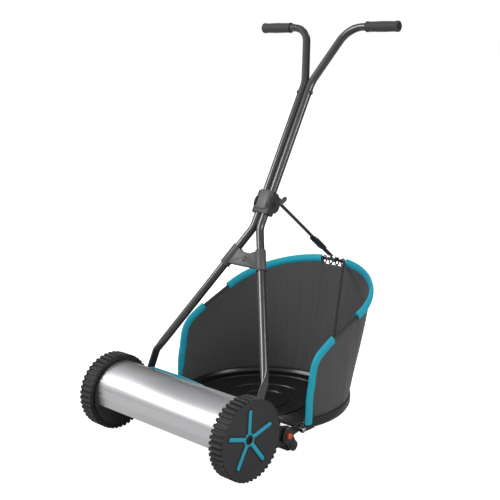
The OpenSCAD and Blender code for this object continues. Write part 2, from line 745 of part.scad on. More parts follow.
upper_path = [[pair_x, upper_foot_s], [pair_x, spread_s], [spread_x, bar_s], [bar_x, bar_s]];
upper_bends = [0, 100, 70, 0];
module upper_tube(side) handle_frame() on_side(side) difference() {
  pipe(upper_path, upper_bends, tube_r, tube_r - tube_wall);
  translate([-50, 0, cross_bolt_s]) rotate([0, 90, 0]) cylinder(r = 3 + seat, h = 100);
}
module upper_tube_left() color("#3b3d40") in_frame() upper_tube(-1);
module upper_tube_right() color("#3b3d40") in_frame() upper_tube(1);

// The upper half of the folding joint: a knuckle on the bolt, a front shell and the strap lug
ear_x = 12;
ear_t = 4;
module hinge_block_upper() color("#7d7f82") in_frame() handle_frame() difference() {
  inner = cheek_in - gap;
  front_b = -tube_r - 2;
  union() {
    translate([-inner, hinge_b, hinge_s]) rotate([0, 90, 0]) cylinder(r = knuckle_r, h = 2 * inner);
    translate([-inner, -tube_r + 0.5, hinge_s + 2]) cube([2 * inner, 2 * tube_r + 3, block_top_s - hinge_s - 2]);
    translate([0, 0, block_foot_s]) linear_extrude(block_top_s - block_foot_s) polygon([
      [-22, front_b], [-16, front_b - 4], [16, front_b - 4], [22, front_b]
    ]);
    translate([-22, front_b, hinge_s + 6]) cube([44, 4, block_top_s - hinge_s - 6]);
    both_sides() along_x(ear_x, ear_x + ear_t) {
      hull() {
        translate([12, lug_s]) circle(9);
        translate([lug_b, lug_s]) circle(6.5);
      }
      hull() {
        translate([lug_b, lug_s]) circle(6.5);
        translate([lug_b + 8, lug_s + 13]) circle(6.5);
      }
    }
    translate([-ear_x - 1, lug_b, lug_s]) rotate([0, 90, 0]) cylinder(r = lug_pin_r, h = 2 * ear_x + 2);
  }
  both_sides() translate([pair_x, 0, upper_foot_s]) cylinder(r = tube_r + seat, h = 60);
  translate([-100, hinge_b, hinge_s]) rotate([0, 90, 0]) cylinder(r = hinge_bolt_r + run, h = 200);
}
module handle_cross_bolt() color("#4a4c4f") in_frame() handle_frame() translate([0, 0, cross_bolt_s])
  rotate([0, 90, 0]) {
    out = pair_x + tube_r;
    rotate_extrude() polygon([
      [0, -out - 5], [3.5, -out - 4.4], [6, -out - 2.4], [6.6, -out - 0.1], [3, -out - 0.1],
      [3, out + 0.1], [6.6, out + 0.1], [6, out + 2.4], [3.5, out + 4.4], [0, out + 5]
    ]);
  }

module grip(side) handle_frame() on_side(side) translate([bar_x - grip_l + 2, 0, bar_s]) rotate([0, 90, 0])
  difference() {
    r = grip_d / 2;
    rotate_extrude() polygon([
      [tube_r, 0], [r - 1.5, 0], [r, 2], [r, 5], [r - 1.2, 8], [r - 0.6, grip_l / 2],
      [r - 0.8, grip_l - 12], [r, grip_l - 6], [r, grip_l - 2], [r - 2, grip_l], [0, grip_l],
      [0, grip_l - 2], [tube_r, grip_l - 2]
    ]);
    translate([0, 0, grip_l - 1]) cylinder(r = r - 5, h = 2);
  }
module grip_left() color("#2a2b2d") in_frame() grip(-1);
module grip_right() color("#2a2b2d") in_frame() grip(1);

// ---------- catcher ----------

module tray_disc(profile) translate([0, tray_y, 0]) rotate_extrude($fn = 96) polygon(profile);

module tray_eye() difference() {
  union() {
    bar(catcher_pin_y, catcher_pin_z, eye_r, eye_x0, eye_x1);
    translate([eye_x0, catcher_pin_y, tray_z + 4]) cube([eye_x1 - eye_x0, 45, 13]);
  }
  bar(catcher_pin_y, catcher_pin_z, catcher_pin_r + run, eye_x0 - 1, eye_x1 + 1);
}
module catcher_tray() color("#1a1b1c") in_frame() union() {
  intersection() {
    tray_disc([
      [0, tray_z], [tray_r - 18, tray_z], [tray_r - 6, tray_z + 4], [tray_r, tray_z + 14], [tray_r, tray_wall_z],
      [tray_r - tray_t, tray_wall_z], [tray_r - tray_t, tray_z + 16], [tray_r - 10, tray_z + 7],
      [tray_r - 20, tray_z + tray_t], [213, tray_z + tray_t], [211, tray_z + 7], [207, tray_z + 7],
      [205, tray_z + tray_t], [132, tray_z + tray_t], [130, tray_z + 7], [126, tray_z + 7],
      [124, tray_z + tray_t], [77, tray_z + tray_t], [75, tray_z + 7], [71, tray_z + 7],
      [69, tray_z + tray_t], [0, tray_z + tray_t]
    ]);
    translate([-tray_r - 5, mouth_y, tray_z - 10]) cube([2 * tray_r + 10, 2 * tray_r, 100]);
  }
  both_sides() tray_eye();
}

// The rim wire: up the front edge, back along the side and round the rear
front_edge = [[243, 69], [245, 134], [253, 174], [260, 213], [272, 237], [296, 256], [rim_low_y, rim_low_z]];
function rim_height(y) = rim_low_z + rim_slope * (y - rim_low_y);
front_run = [for (q = front_edge) [rim_x, q[0], q[1]]];
side_run = [for (y = [rim_low_y + 22 : 22 : rim_side_y - 5]) [rim_x, y, rim_height(y)]];
rear_half = [for (a = [0 : 5 : 90])
  let (y = rim_side_y + rim_rear * sin(a)) [rim_x * cos(a), y, rim_height(y)]];
function flip(v) = [for (p = backward(v)) [-p[0], p[1], p[2]]];
function but_first(v) = [for (i = [1 : len(v) - 1]) v[i]];
right_run = concat(front_run, side_run, rear_half);
rim_path = concat(right_run, but_first(flip(right_run)));
function outward(p) = unit([p[0] / rim_x, max(p[1] - rim_side_y, 0) / rim_rear, 0]);
function outwards(path) = [for (p = path) outward(p)];

module catcher_rim() color("#1c1c1e") in_frame()
  loft(path_rings(rim_path, outwards(rim_path), ellipse(rim_d / 2, rim_d / 2, 10)));

// The hem is open at both sides and at the rear, where the wire shows
hem_gap_y = 443;
hem_gap_x = 47;
hem_line = ellipse(rim_d / 2 + 2, hem_w / 2, 12);
function hem_part(lo_y, hi_y, min_x) = [for (p = right_run) if (p[1] >= lo_y && p[1] <= hi_y && p[0] >= min_x) p];
module catcher_hem() color("#0098ac") in_frame() {
  front = hem_part(0, rim_low_y, 0);
  rear = concat([[rim_x, hem_gap_y, rim_height(hem_gap_y)]], hem_part(rim_side_y, 2000, hem_gap_x),
    [[hem_gap_x, rear_y - 3.8, rim_height(rear_y - 3.8)]]);
  both_sides() {
    loft(path_rings(front, outwards(front), hem_line));
    loft(path_rings(rear, outwards(rear), hem_line));
  }
}

// The bag's wall runs from the tray's edge up to just under the wire
bag_low_r = tray_r - tray_t - 0.4;
bag_low_z = tray_z + 18;
function low_angle(p) = p[1] < rim_side_y
  ? asin((p[1] - tray_y) / bag_low_r)
  : let (
      start = asin((rim_side_y - tray_y) / bag_low_r),
      part = atan2((p[1] - rim_side_y) / rim_rear, abs(p[0]) / rim_x) / 90
    ) start + (90 - start) * part;
function bag_low(p) = let (a = low_angle(p))
  [(p[0] < 0 ? -1 : 1) * bag_low_r * cos(a), tray_y + bag_low_r * sin(a), bag_low_z];
// The bag's top edge dips at the rear, under the strap's hook
function bag_dip(p) = p[1] > rim_side_y && abs(p[0]) < hem_gap_x ? 14 : 3;
function bag_station(p) =
  let (q = bag_low(p), o = outward(p), top = p - [0, 0, bag_dip(p)], mid = (top + q) / 2 + o * 3)
  [top + o * wall_t / 2, top - o * wall_t / 2, mid - o * wall_t / 2, q - o * wall_t, q, mid + o * wall_t / 2];
module catcher_bag() color("#38393c") in_frame() loft([for (p = rim_path) bag_station(p)]);

// A taut cord from the rear of the rim to the side, on the right
cord_d = 5;
cord_from = [38, rear_y - 5, rear_z + 1];
cord_to = [rim_x - 4, rim_low_y + 10, rim_low_z + 6];
module catcher_side_cord() color("#161617") in_frame() {
  d = cord_to - cord_from;
  translate(cord_from) rotate([0, acos(d[2] / norm(d)), atan2(d[1], d[0])]) cylinder(d = cord_d, h = norm(d));
}

// ---------- strap ----------

// Local z runs up the strap from the rear of the rim, local y points away from the bag's inside
module strap_frame() translate([0, rear_y, rear_z]) rotate([strap_tilt, 0, 0]) children();

hook_in_r = lug_pin_r + 2;
hook_t = 2.4;
hook_w = ear_x - 4;
strap_low = 26;
strap_high = strap_l - hook_in_r - hook_t - 3;
buckle_low = strap_l * 0.24;
buckle_high = buckle_low + 46;
hook_open_from = 172;
hook_open_to = 308;
module strap_hook_upper() color("#2a2b2d") in_frame() along_x(-hook_w / 2, hook_w / 2) difference() {
  far = 4 * hook_in_r;
  union() {
    translate([lug_y, lug_z]) circle(hook_in_r + hook_t);
    translate([rear_y, rear_z]) rotate(strap_tilt)
      translate([-hook_t / 2, strap_high - 4]) square([hook_t, 9]);
  }
  translate([lug_y, lug_z]) circle(hook_in_r);
  translate([lug_y, lug_z]) polygon([[0, 0], polar([0, 0], far, hook_open_from),
    polar([0, 0], far * 2, (hook_open_from + hook_open_to) / 2), polar([0, 0], far, hook_open_to)]);
}
module catcher_strap() color("#161718") in_frame() strap_frame() union() {
  translate([-strap_w / 2, -strap_t / 2, buckle_low]) cube([strap_w, strap_t, strap_high - buckle_low - 4]);
  translate([-strap_w / 2, -strap_t * 1.2, strap_low]) cube([strap_w, strap_t * 2.4, buckle_low - strap_low + 1]);
}
module strap_buckle() color("#0f0f10") in_frame() strap_frame() difference() {
  translate([0, 3.5, 0]) rotate([90, 0, 0]) linear_extrude(7) {
    translate([-strap_w / 2 - 4, buckle_low]) square([strap_w + 8, buckle_high - buckle_low]);
    translate([0, buckle_low]) circle(strap_w / 2 + 4);
    translate([0, buckle_high]) circle(strap_w / 2 + 4);
  }
  translate([-strap_w / 2 - seat, -strap_t * 1.2 - seat, buckle_low - 30])
    cube([strap_w + 2 * seat, strap_t * 2.4 + 2 * seat, 120]);
}
wire_d = 3.2;
module strap_hook_lower() color("#9b9ea1") in_frame() strap_frame() {
  inner = rim_d / 2 + 1;
  w = wire_d / 2;
  union() {
    rotate([0, 90, 0]) rotate([0, 0, -90]) rotate_extrude(angle = 180) translate([inner, -w]) square(wire_d);
    translate([-w, -inner - wire_d, 0]) cube([wire_d, wire_d, strap_low - 1]);
    translate([-w, inner, 0]) cube([wire_d, wire_d, 7]);
  }
}

side_plate_left();
side_plate_right();
hood();
rear_cross_member();
front_tie_rod();
bed_knife_carrier();
bed_knife();
bed_knife_screws();
wheel_stub_left();
wheel_stub_right();
wheel_retainers();
reel_bearings();
chassis_screws();
catcher_pins();
handle_pivot_bolts();
wheel_left();
tyre_left();
wheel_cover_left();
wheel_star_left();
hub_cap_left();
wheel_bush_left();
wheel_right();
tyre_right();
wheel_cover_right();
wheel_star_right();
hub_cap_right();
wheel_bush_right();
pinion_left();
pinion_right();
reel_shaft();
reel_spiders();
reel_blades();
reel_pawls();
roller_bracket_left();
roller_bracket_right();
roller_axle();
rear_roller();
height_button_left();
height_button_right();
lower_tube_left();
lower_tube_right();
y_bracket();
y_bracket_screw();
hinge_block_lower();
hinge_bolt();
upper_tube_left();
upper_tube_right();
hinge_block_upper();
handle_cross_bolt();
grip_left();
grip_right();
catcher_tray();
catcher_rim();
catcher_bag();
catcher_hem();
catcher_side_cord();
strap_hook_upper();
catcher_strap();
strap_buckle();
strap_hook_lower();
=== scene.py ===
# Reel mower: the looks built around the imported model, in metres, in the model's own frame
import math
import bmesh
import bpy
from mathutils import Matrix, Vector


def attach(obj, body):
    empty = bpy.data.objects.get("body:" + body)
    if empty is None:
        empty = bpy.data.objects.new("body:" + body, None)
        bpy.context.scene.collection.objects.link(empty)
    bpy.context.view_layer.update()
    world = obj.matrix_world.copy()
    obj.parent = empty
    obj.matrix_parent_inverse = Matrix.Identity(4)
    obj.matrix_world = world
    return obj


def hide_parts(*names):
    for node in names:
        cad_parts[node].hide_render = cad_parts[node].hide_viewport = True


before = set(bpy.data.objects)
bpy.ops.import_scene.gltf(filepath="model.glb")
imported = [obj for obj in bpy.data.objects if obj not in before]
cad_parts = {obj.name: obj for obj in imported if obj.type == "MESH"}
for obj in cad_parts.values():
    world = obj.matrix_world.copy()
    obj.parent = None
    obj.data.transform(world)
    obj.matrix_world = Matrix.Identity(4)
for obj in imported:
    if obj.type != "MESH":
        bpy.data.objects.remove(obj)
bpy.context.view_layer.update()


# ---- Studio
# A white floor that runs out of sight, soft light from above and from the front,
# and the camera, standing off the mower's front corner a little above the hood.
scene = bpy.context.scene
eye = bpy.data.cameras.new("studio_camera")
eye.lens = 69.85
eye.sensor_width = 36
eye.clip_end = 60
camera = bpy.data.objects.new("studio_camera", eye)
scene.collection.objects.link(camera)
camera.location = (1.7758, -1.87595, 1.0444)
looking = Vector((0, 0.00315, 0.49375)) - camera.location
camera.rotation_euler = looking.to_track_quat("-Z", "Y").to_euler()
scene.camera = camera
scene.view_settings.view_transform = "Standard"

room = bpy.data.worlds.new("studio_room")
scene.world = room
room.use_nodes = True
sky = room.node_tree.nodes["Background"]
where = room.node_tree.nodes.new("ShaderNodeTexCoord")
height = room.node_tree.nodes.new("ShaderNodeSeparateXYZ")
fade = room.node_tree.nodes.new("ShaderNodeValToRGB")
fade.color_ramp.elements[0].position = 0.44
fade.color_ramp.elements[0].color = (0.5, 0.5, 0.5, 1)
fade.color_ramp.elements[1].position = 1.0
fade.color_ramp.elements[1].color = (0.55, 0.55, 0.56, 1)
for stop, grey in ((0.56, 0.55), (0.74, 0.85)):
    mark = fade.color_ramp.elements.new(stop)
    mark.color = (grey, grey, grey * 1.01, 1)
lift = room.node_tree.nodes.new("ShaderNodeMapRange")
lift.inputs["From Min"].default_value = -1
room.node_tree.links.new(where.outputs["Generated"], height.inputs[0])
room.node_tree.links.new(height.outputs["Z"], lift.inputs["Value"])
room.node_tree.links.new(lift.outputs[0], fade.inputs[0])
room.node_tree.links.new(fade.outputs[0], sky.inputs[0])
behind = room.node_tree.nodes.new("ShaderNodeMapRange")
for limit, value in (("From Min", -0.3), ("From Max", 0.75), ("To Min", 0.95), ("To Max", 0.12)):
    behind.inputs[limit].default_value = value
room.node_tree.links.new(height.outputs["Y"], behind.inputs["Value"])
room.node_tree.links.new(behind.outputs[0], sky.inputs[1])
paper = room.node_tree.nodes.new("ShaderNodeBackground")
paper.inputs[0].default_value = (1, 1, 1, 1)
path_kind = room.node_tree.nodes.new("ShaderNodeLightPath")
pick = room.node_tree.nodes.new("ShaderNodeMixShader")
room.node_tree.links.new(path_kind.outputs["Is Camera Ray"], pick.inputs[0])
room.node_tree.links.new(sky.outputs[0], pick.inputs[1])
room.node_tree.links.new(paper.outputs[0], pick.inputs[2])
room.node_tree.links.new(pick.outputs[0], room.node_tree.nodes["World Output"].inputs[0])


def lamp(name, place, target, size, power):
    light = bpy.data.lights.new(name, "AREA")
    light.shape = "RECTANGLE"
    light.size, light.size_y = size
    light.energy = power
    lit = bpy.data.objects.new(name, light)
    scene.collection.objects.link(lit)
    lit.location = place
    lit.rotation_euler = (Vector(target) - Vector(place)).to_track_quat("-Z", "Y").to_euler()


lamp("key_softbox", (-1.6, -2.6, 2.6), (0, 0, 0.3), (1.8, 1.4), 74)
lamp("side_softbox", (3.2, 0.6, 2.2), (0, 0.1, 0.4), (1.2, 2.0), 52)
lamp("rear_strip", (-1.0, 2.8, 2.4), (0, 0.2, 0.5), (2.4, 0.7), 30)

ground = bmesh.new()
bmesh.ops.create_grid(ground, x_segments=1, y_segments=1, size=20)
floor_mesh = bpy.data.meshes.new("floor")
ground.to_mesh(floor_mesh)
ground.free()
floor = bpy.data.objects.new("floor", floor_mesh)
scene.collection.objects.link(floor)


# Every finish is a node material read in the mower's own coordinates. Line wraps one
# socket, so that shader sums are written as plain sums.
# Every finish is a node material read in the mower's own coordinates. Line wraps one
# socket, so that shader sums are written as plain sums.
class Line:
    def __init__(self, tree, socket):
        self.tree = tree
        self.socket = socket

    def node(self, kind, settings=None, sockets=None, out=0):
        made = self.tree.nodes.new(kind)
        for name, value in (settings or {}).items():
            if name == "stops":
                ramp = made.color_ramp
                while len(ramp.elements) < len(value):
                    ramp.elements.new(0.5)
                for element, (spot, colour) in zip(ramp.elements, value):
                    element.position = spot
                    element.color = (*colour, 1) if len(colour) == 3 else colour
            else:
                setattr(made, name, value)
        for name, value in (sockets or {}).items():
            if isinstance(value, Line):
                self.tree.links.new(value.socket, made.inputs[name])
            else:
                made.inputs[name].default_value = value
        return Line(self.tree, made.outputs[out])

    def sum(self, operation, *values):
        return self.node("ShaderNodeMath", {"operation": operation}, dict(enumerate(values)))

    def __add__(self, other): return self.sum("ADD", self, other)
    def __radd__(self, other): return self.sum("ADD", other, self)
    def __sub__(self, other): return self.sum("SUBTRACT", self, other)
    def __rsub__(self, other): return self.sum("SUBTRACT", other, self)
    def __mul__(self, other): return self.sum("MULTIPLY", self, other)
    def __rmul__(self, other): return self.sum("MULTIPLY", other, self)
    def __truediv__(self, other): return self.sum("DIVIDE", self, other)
    def __gt__(self, other): return self.sum("GREATER_THAN", self, other)
    def __lt__(self, other): return self.sum("LESS_THAN", self, other)
    def __abs__(self): return self.sum("ABSOLUTE", self)
    def sin(self): return self.sum("SINE", self)
    def wrapped(self, size): return self.sum("FLOORED_MODULO", self, size)

    def step(self, low, high):
        return self.node("ShaderNodeMapRange", {"interpolation_type": "SMOOTHSTEP"},
                         {"Value": self, "From Min": low, "From Max": high})

    def tint(self, dark, light):
        return self.node("ShaderNodeValToRGB", {"stops": [(0, dark), (1, light)]}, {0: self})

    def blend(self, first, second):
        made = self.node("ShaderNodeMix", {"data_type": "RGBA"}, {0: self}, out=2)
        for slot_index, value in ((6, first), (7, second)):
            if isinstance(value, Line):
                self.tree.links.new(value.socket, made.socket.node.inputs[slot_index])
            else:
                made.socket.node.inputs[slot_index].default_value = (*value, 1)
        return made

    def parts(self):
        apart = self.node("ShaderNodeSeparateXYZ", None, {0: self}).socket.node
        return [Line(self.tree, apart.outputs[i]) for i in range(3)]

    def noise(self, scale, detail=3, rough=0.5, stretch=None):
        spot = self
        if stretch:
            spot = self.node("ShaderNodeMapping", None, {"Vector": self, "Scale": stretch})
        return self.node("ShaderNodeTexNoise", None, {"Vector": spot, "Scale": scale, "Detail": detail,
                                                          "Roughness": rough})


class Finish:
    """A material with one Principled shader; place is Object space, flat is the piece's own UV map"""
    def __init__(self, name, **fixed):
        self.material = bpy.data.materials.new(name)
        self.material.use_nodes = True
        tree = self.material.node_tree
        self.shader = tree.nodes["Principled BSDF"]
        where = tree.nodes.new("ShaderNodeTexCoord")
        self.place = Line(tree, where.outputs["Object"])
        self.flat = Line(tree, where.outputs["UV"])
        for socket, value in fixed.items():
            self.set(socket.replace("_", " "), value)

    def set(self, socket, value):
        if isinstance(value, Line):
            value.tree.links.new(value.socket, self.shader.inputs[socket])
        else:
            self.shader.inputs[socket].default_value = (*value, 1) if hasattr(value, "__len__") else value

    def bump(self, height, depth, strength=1.0):
        self.set("Normal", height.node("ShaderNodeBump", None,
                                       {"Height": height, "Distance": depth, "Strength": strength}))


floor_look = Finish("studio_floor", Roughness=0.95, Emission_Strength=1.0)
floor_look.set("Base Color", floor_look.place.noise(3).tint((0.48, 0.48, 0.48), (0.52, 0.52, 0.52)))
seen = floor_look.place.node("ShaderNodeLightPath")
floor_look.set("Emission Color", seen.tint((0.05, 0.05, 0.05), (1, 1, 1)))
floor_mesh.materials.append(floor_look.material)
# ---- Side plates and stubs
# Two moulded plates carry everything: the wheels turn on steel stubs pressed through them,
# and screws hold the hood, the tie rod and the bed knife's carrier between them.
def moulded(name, dark, light, rough=0.45, grain=0.00006, **fixed):
    """Moulded plastic: a fine spark-eroded grain, slow colour drift and a few dull rubbed patches"""
    look = Finish(name, **fixed)
    drift = look.place.noise(9, 4)
    pores = look.place.noise(2600, 2, 0.6)
    rub = look.place.noise(38, 5, 0.62).step(0.52, 0.78)
    look.set("Base Color", (drift * 0.7 + pores * 0.3).tint(dark, light))
    look.set("Roughness", rough - 0.08 + pores * 0.12 + rub * 0.08)
    look.bump(pores + look.place.noise(600, 2) * 0.6, grain)
    return look


def bare_metal(name, dark, light, rough=0.3, along=(1, 1, 1), **fixed):
    """Turned or rolled steel: fine drawn lines, faint stains and brighter rubbed spots"""
    look = Finish(name, Metallic=1.0, **fixed)
    lines = look.place.noise(900, 3, 0.65, stretch=along)
    stain = look.place.noise(26, 5, 0.6)
    look.set("Base Color", (lines * 0.5 + stain * 0.5).tint(dark, light))
    look.set("Roughness", rough - 0.08 + lines * 0.12 + stain.step(0.45, 0.75) * 0.14)
    look.bump(lines, 0.00004)
    return look


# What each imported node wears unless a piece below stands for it
def wear(look, *nodes):
    for node in nodes:
        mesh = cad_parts[node].data
        for index in range(len(mesh.materials)):
            mesh.materials[index] = look.material


def softened(shape, edges, width, segments=2):
    bmesh.ops.bevel(shape, geom=edges, offset=width, offset_type="OFFSET", segments=segments, profile=0.5,
                    affect="EDGES", material=-1, clamp_overlap=True)


def settle(name, shape, place, look, body, stands_for=(), sharp=34):
    """A shape in millimetres becomes a finished piece on a body"""
    bmesh.ops.transform(shape, matrix=place, verts=shape.verts)
    bmesh.ops.remove_doubles(shape, verts=shape.verts, dist=0.00001)
    bmesh.ops.recalc_face_normals(shape, faces=shape.faces)
    mesh = bpy.data.meshes.new(name)
    shape.to_mesh(mesh)
    shape.free()
    mesh.shade_smooth()
    mesh.set_sharp_from_angle(angle=math.radians(sharp))
    mesh.materials.append(look.material)
    made = bpy.data.objects.new(name, mesh)
    scene.collection.objects.link(made)
    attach(made, body)
    if stands_for:
        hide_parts(*stands_for)
    return made


def eased_copy(node, look, body, width=0.5, sharp=32):
    """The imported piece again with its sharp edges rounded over, as a mould or a file leaves them"""
    shape = bmesh.new()
    shape.from_mesh(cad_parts[node].data)
    bmesh.ops.remove_doubles(shape, verts=shape.verts, dist=0.00002)
    bmesh.ops.dissolve_limit(shape, angle_limit=math.radians(0.6), verts=shape.verts, edges=shape.edges,
                             delimit=set())
    bmesh.ops.scale(shape, vec=(1000, 1000, 1000), verts=shape.verts)
    corners = [e for e in shape.edges
               if len(e.link_faces) == 2 and e.calc_face_angle(0) > math.radians(sharp)]
    softened(shape, corners, width, 2)
    return settle(node + "_piece", shape, Matrix.Scale(0.001, 4), look, body, (node,))


plate_black = moulded("side_plate_black", (0.012, 0.0125, 0.014), (0.024, 0.025, 0.027), 0.42)
turned_steel = bare_metal("turned_steel", (0.36, 0.365, 0.37), (0.6, 0.605, 0.61), 0.3)
for side in ("left", "right"):
    eased_copy("side_plate_" + side, plate_black, "chassis", 0.6)
wear(turned_steel, "wheel_stub_left", "wheel_stub_right", "wheel_retainers", "front_tie_rod", "chassis_screws",
     "catcher_pins", "handle_pivot_bolts", "bed_knife_screws", "roller_axle", "reel_shaft", "reel_pawls")
bronze = bare_metal("bearing_bronze", (0.42, 0.27, 0.1), (0.62, 0.43, 0.18), 0.36)
wear(bronze, "reel_bearings")


# ---- Hood
# One rolled sheet of brushed aluminium between the side plates, bent down into a front
# flange along a crease; its lower edge is folded back on itself.
# Sizes are in millimetres from the ground under the axle; the frame's middle lies behind it.
MIDDLE = 277.25
IN_FRAME = Matrix.Translation((0, -MIDDLE / 1000, 0)) @ Matrix.Scale(0.001, 4)
AXLE_Z = 105
hood_look = Finish("brushed_aluminium", Metallic=1.0, Anisotropic=0.45)
brush = hood_look.place.noise(300, 4, 0.7, stretch=(0.012, 1, 1))
fine_brush = hood_look.place.noise(1500, 2, 0.6, stretch=(0.008, 1, 1))
handling = hood_look.place.noise(14, 4, 0.6).step(0.5, 0.85)
hood_look.set("Base Color", (brush * 0.6 + fine_brush * 0.4).tint((0.66, 0.665, 0.675), (0.84, 0.845, 0.85)))
hood_look.set("Roughness", 0.27 + fine_brush * 0.1 + handling * 0.06)
hood_look.bump(brush + fine_brush, 0.00003)

HOOD_R, BLEND_R, HALF_W = 88, 50, 221.3
hood_line = [(HOOD_R * math.cos(math.radians(a)), AXLE_Z + HOOD_R * math.sin(math.radians(a)))
             for a in range(54, 147, 2)]
blend_y = (HOOD_R - BLEND_R) * math.cos(math.radians(146))
blend_z = AXLE_Z + (HOOD_R - BLEND_R) * math.sin(math.radians(146))
hood_line += [(blend_y + BLEND_R * math.cos(math.radians(a)), blend_z + BLEND_R * math.sin(math.radians(a)))
              for a in range(148, 171, 2)]
hood_line += [(-81.2, 117.2), (-81.5, 115.6), (-81.42, 114), (-79.3, 92), (-79.0, 90.5), (-78.0, 90.1),
              (-77.3, 91.0), (-77.7, 96)]
sheet_metal = bmesh.new()
rib = [sheet_metal.verts.new((-HALF_W, y, z)) for y, z in hood_line]
edge_line = [sheet_metal.edges.new((rib[i], rib[i + 1])) for i in range(len(rib) - 1)]
rolled = bmesh.ops.extrude_edge_only(sheet_metal, edges=edge_line)["geom"]
bmesh.ops.translate(sheet_metal, vec=(2 * HALF_W, 0, 0),
                    verts=[v for v in rolled if isinstance(v, bmesh.types.BMVert)])
bmesh.ops.recalc_face_normals(sheet_metal, faces=sheet_metal.faces)
if sum(f.normal.z for f in sheet_metal.faces) < 0:
    bmesh.ops.reverse_faces(sheet_metal, faces=sheet_metal.faces)
bmesh.ops.solidify(sheet_metal, geom=sheet_metal.faces, thickness=1.2)
settle("hood_sheet_piece", sheet_metal, IN_FRAME, hood_look, "chassis", ("hood",), sharp=24)


def sweep(shape, line, across, outline, closed=True, capped=True):
    """A grid of faces, with its own UV map, bent into an outline carried along a line.
    outline(t, v) gives (outward, upward) at part t of the line and part v round the section."""
    count, sides = len(line) - 1, outline.sides
    grid = bmesh.ops.create_grid(shape, x_segments=count, y_segments=sides, size=1, calc_uvs=True)["verts"]
    rings = {}
    for vert in grid:
        i = round((vert.co.x + 1) / 2 * count)
        j = round((vert.co.y + 1) / 2 * sides)
        ahead = (line[min(i + 1, count)] - line[max(i - 1, 0)]).normalized()
        out = (across[i] - ahead * across[i].dot(ahead)).normalized()
        side, up = outline(i / count, j / sides)
        vert.co = line[i] + out * side + ahead.cross(out) * up
        rings.setdefault(i, []).append(vert)
    if closed:
        bmesh.ops.remove_doubles(shape, verts=grid, dist=0.0005)
        if capped:
            open_rims = [e for e in shape.edges if e.is_boundary]
            bmesh.ops.holes_fill(shape, edges=open_rims, sides=0)


def round_section(radius, sides=24, squash=1.0):
    def outline(t, v):
        return radius * math.cos(math.tau * v), radius * squash * math.sin(math.tau * v)
    outline.sides = sides
    return outline


def eased(points, radii, step=4.0):
    """A line through points whose inner corners are rounded to the radii given"""
    points = [Vector(p) for p in points]
    line = [points[0]]
    for i in range(1, len(points) - 1):
        before, here, after = points[i - 1:i + 2]
        back, on = (before - here).normalized(), (after - here).normalized()
        half = back.angle(on) / 2
        reach = radii[i - 1] / math.tan(half) if radii[i - 1] else 0
        if not reach:
            line.append(here)
            continue
        middle = here + (back + on).normalized() * (radii[i - 1] / math.sin(half))
        first, last = here + back * reach - middle, here + on * reach - middle
        turn = first.angle(last)
        pieces = max(4, math.ceil(turn * radii[i - 1] / step))
        axis = first.cross(last).normalized()
        line += [middle + Matrix.Rotation(turn * k / pieces, 3, axis) @ first for k in range(pieces + 1)]
    line.append(points[-1])
    return line


# The turquoise cross member behind the hood is folded steel, painted, with a pressed rib
paint = Finish("turquoise_paint", Coat_Weight=0.25, Coat_Roughness=0.2)
peel = paint.place.noise(700, 2)
paint.set("Base Color", (paint.place.noise(12, 4) * 0.8 + peel * 0.2).tint(
    (0.0, 0.28, 0.39), (0.0, 0.36, 0.48)))
paint.set("Roughness", 0.32 + paint.place.noise(40, 4).step(0.4, 0.8) * 0.14)
paint.bump(peel, 0.00005)
eased_copy("rear_cross_member", paint, "chassis", 0.7)
member_rib = bmesh.new()
rib_line = eased([(-216, 62.6, 160), (-40, 62.6, 165), (60, 62.6, 161.5), (216, 62.6, 159.5)], [400, 400], 12)
sweep(member_rib, rib_line, [Vector((0, -1, 0))] * len(rib_line), round_section(1.5, 12, 1.3))
settle("cross_member_rib", member_rib, IN_FRAME, paint, "chassis")


# ---- Bed knife and reel
# The fixed knife is screwed under a painted steel angle; five hardened blades wound round
# four pressed spiders pass it with half a millimetre to spare.
frame_black = moulded("black_powder_coat", (0.012, 0.012, 0.013), (0.022, 0.022, 0.024), 0.38)
knife_steel = bare_metal("knife_steel", (0.2, 0.2, 0.205), (0.46, 0.465, 0.47), 0.33, (0.05, 1, 1))
wear(frame_black, "bed_knife_carrier", "reel_spiders")
wear(knife_steel, "bed_knife")
REEL_Y, REEL_Z, REEL_R, BLADE_L = 37.999, 92.507, 62.2, 395.6
BLADE_TWIST = math.radians(65)
spiral = bmesh.new()
for k in range(5):
    start_turn = math.tau * k / 5 - math.radians(40)
    strip = bmesh.ops.create_grid(spiral, x_segments=72, y_segments=4, size=1)["verts"]
    for vert in strip:
        along, across_blade = (vert.co.x + 1) / 2, (vert.co.y + 1) / 2
        radius = 46.5 + across_blade * (REEL_R - 46.5)
        turn = start_turn + (along - 0.5) * BLADE_TWIST - math.radians(9) * (1 - across_blade) ** 1.4
        vert.co = ((along - 0.5) * BLADE_L, REEL_Y + radius * math.cos(turn),
                   REEL_Z + radius * math.sin(turn))
    spiral.normal_update()
    bmesh.ops.solidify(spiral, geom=list({f for v in strip for f in v.link_faces}), thickness=2.6)
settle("reel_blades_piece", spiral, IN_FRAME, knife_steel, "reel", ("reel_blades",))


# ---- Wheels
# Moulded wheels with a ring gear inside, a pressed-on dished cover, a five-armed star let into it, its channel
# drawn as a near-black band of painted shade round each arm, and a rubber tyre with a loop-shaped lug for every
# step of the tread.
MIRRORED = Matrix.Scale(-1, 4, (1, 0, 0))


def turned(shape, profile, centre=(0, 0), steps=96):
    """A profile of (radius, x) spun about an X axis at (y, z)"""
    points = [shape.verts.new((x, centre[0], centre[1] + r)) for r, x in profile]
    edges = [shape.edges.new((points[i], points[i + 1])) for i in range(len(points) - 1)]
    bmesh.ops.spin(shape, geom=points + edges, cent=(0, *centre), axis=(1, 0, 0), dvec=(0, 0, 0),
                   angle=math.tau, steps=steps, use_merge=True, use_duplicate=False)
    bmesh.ops.remove_doubles(shape, verts=shape.verts, dist=0.001)


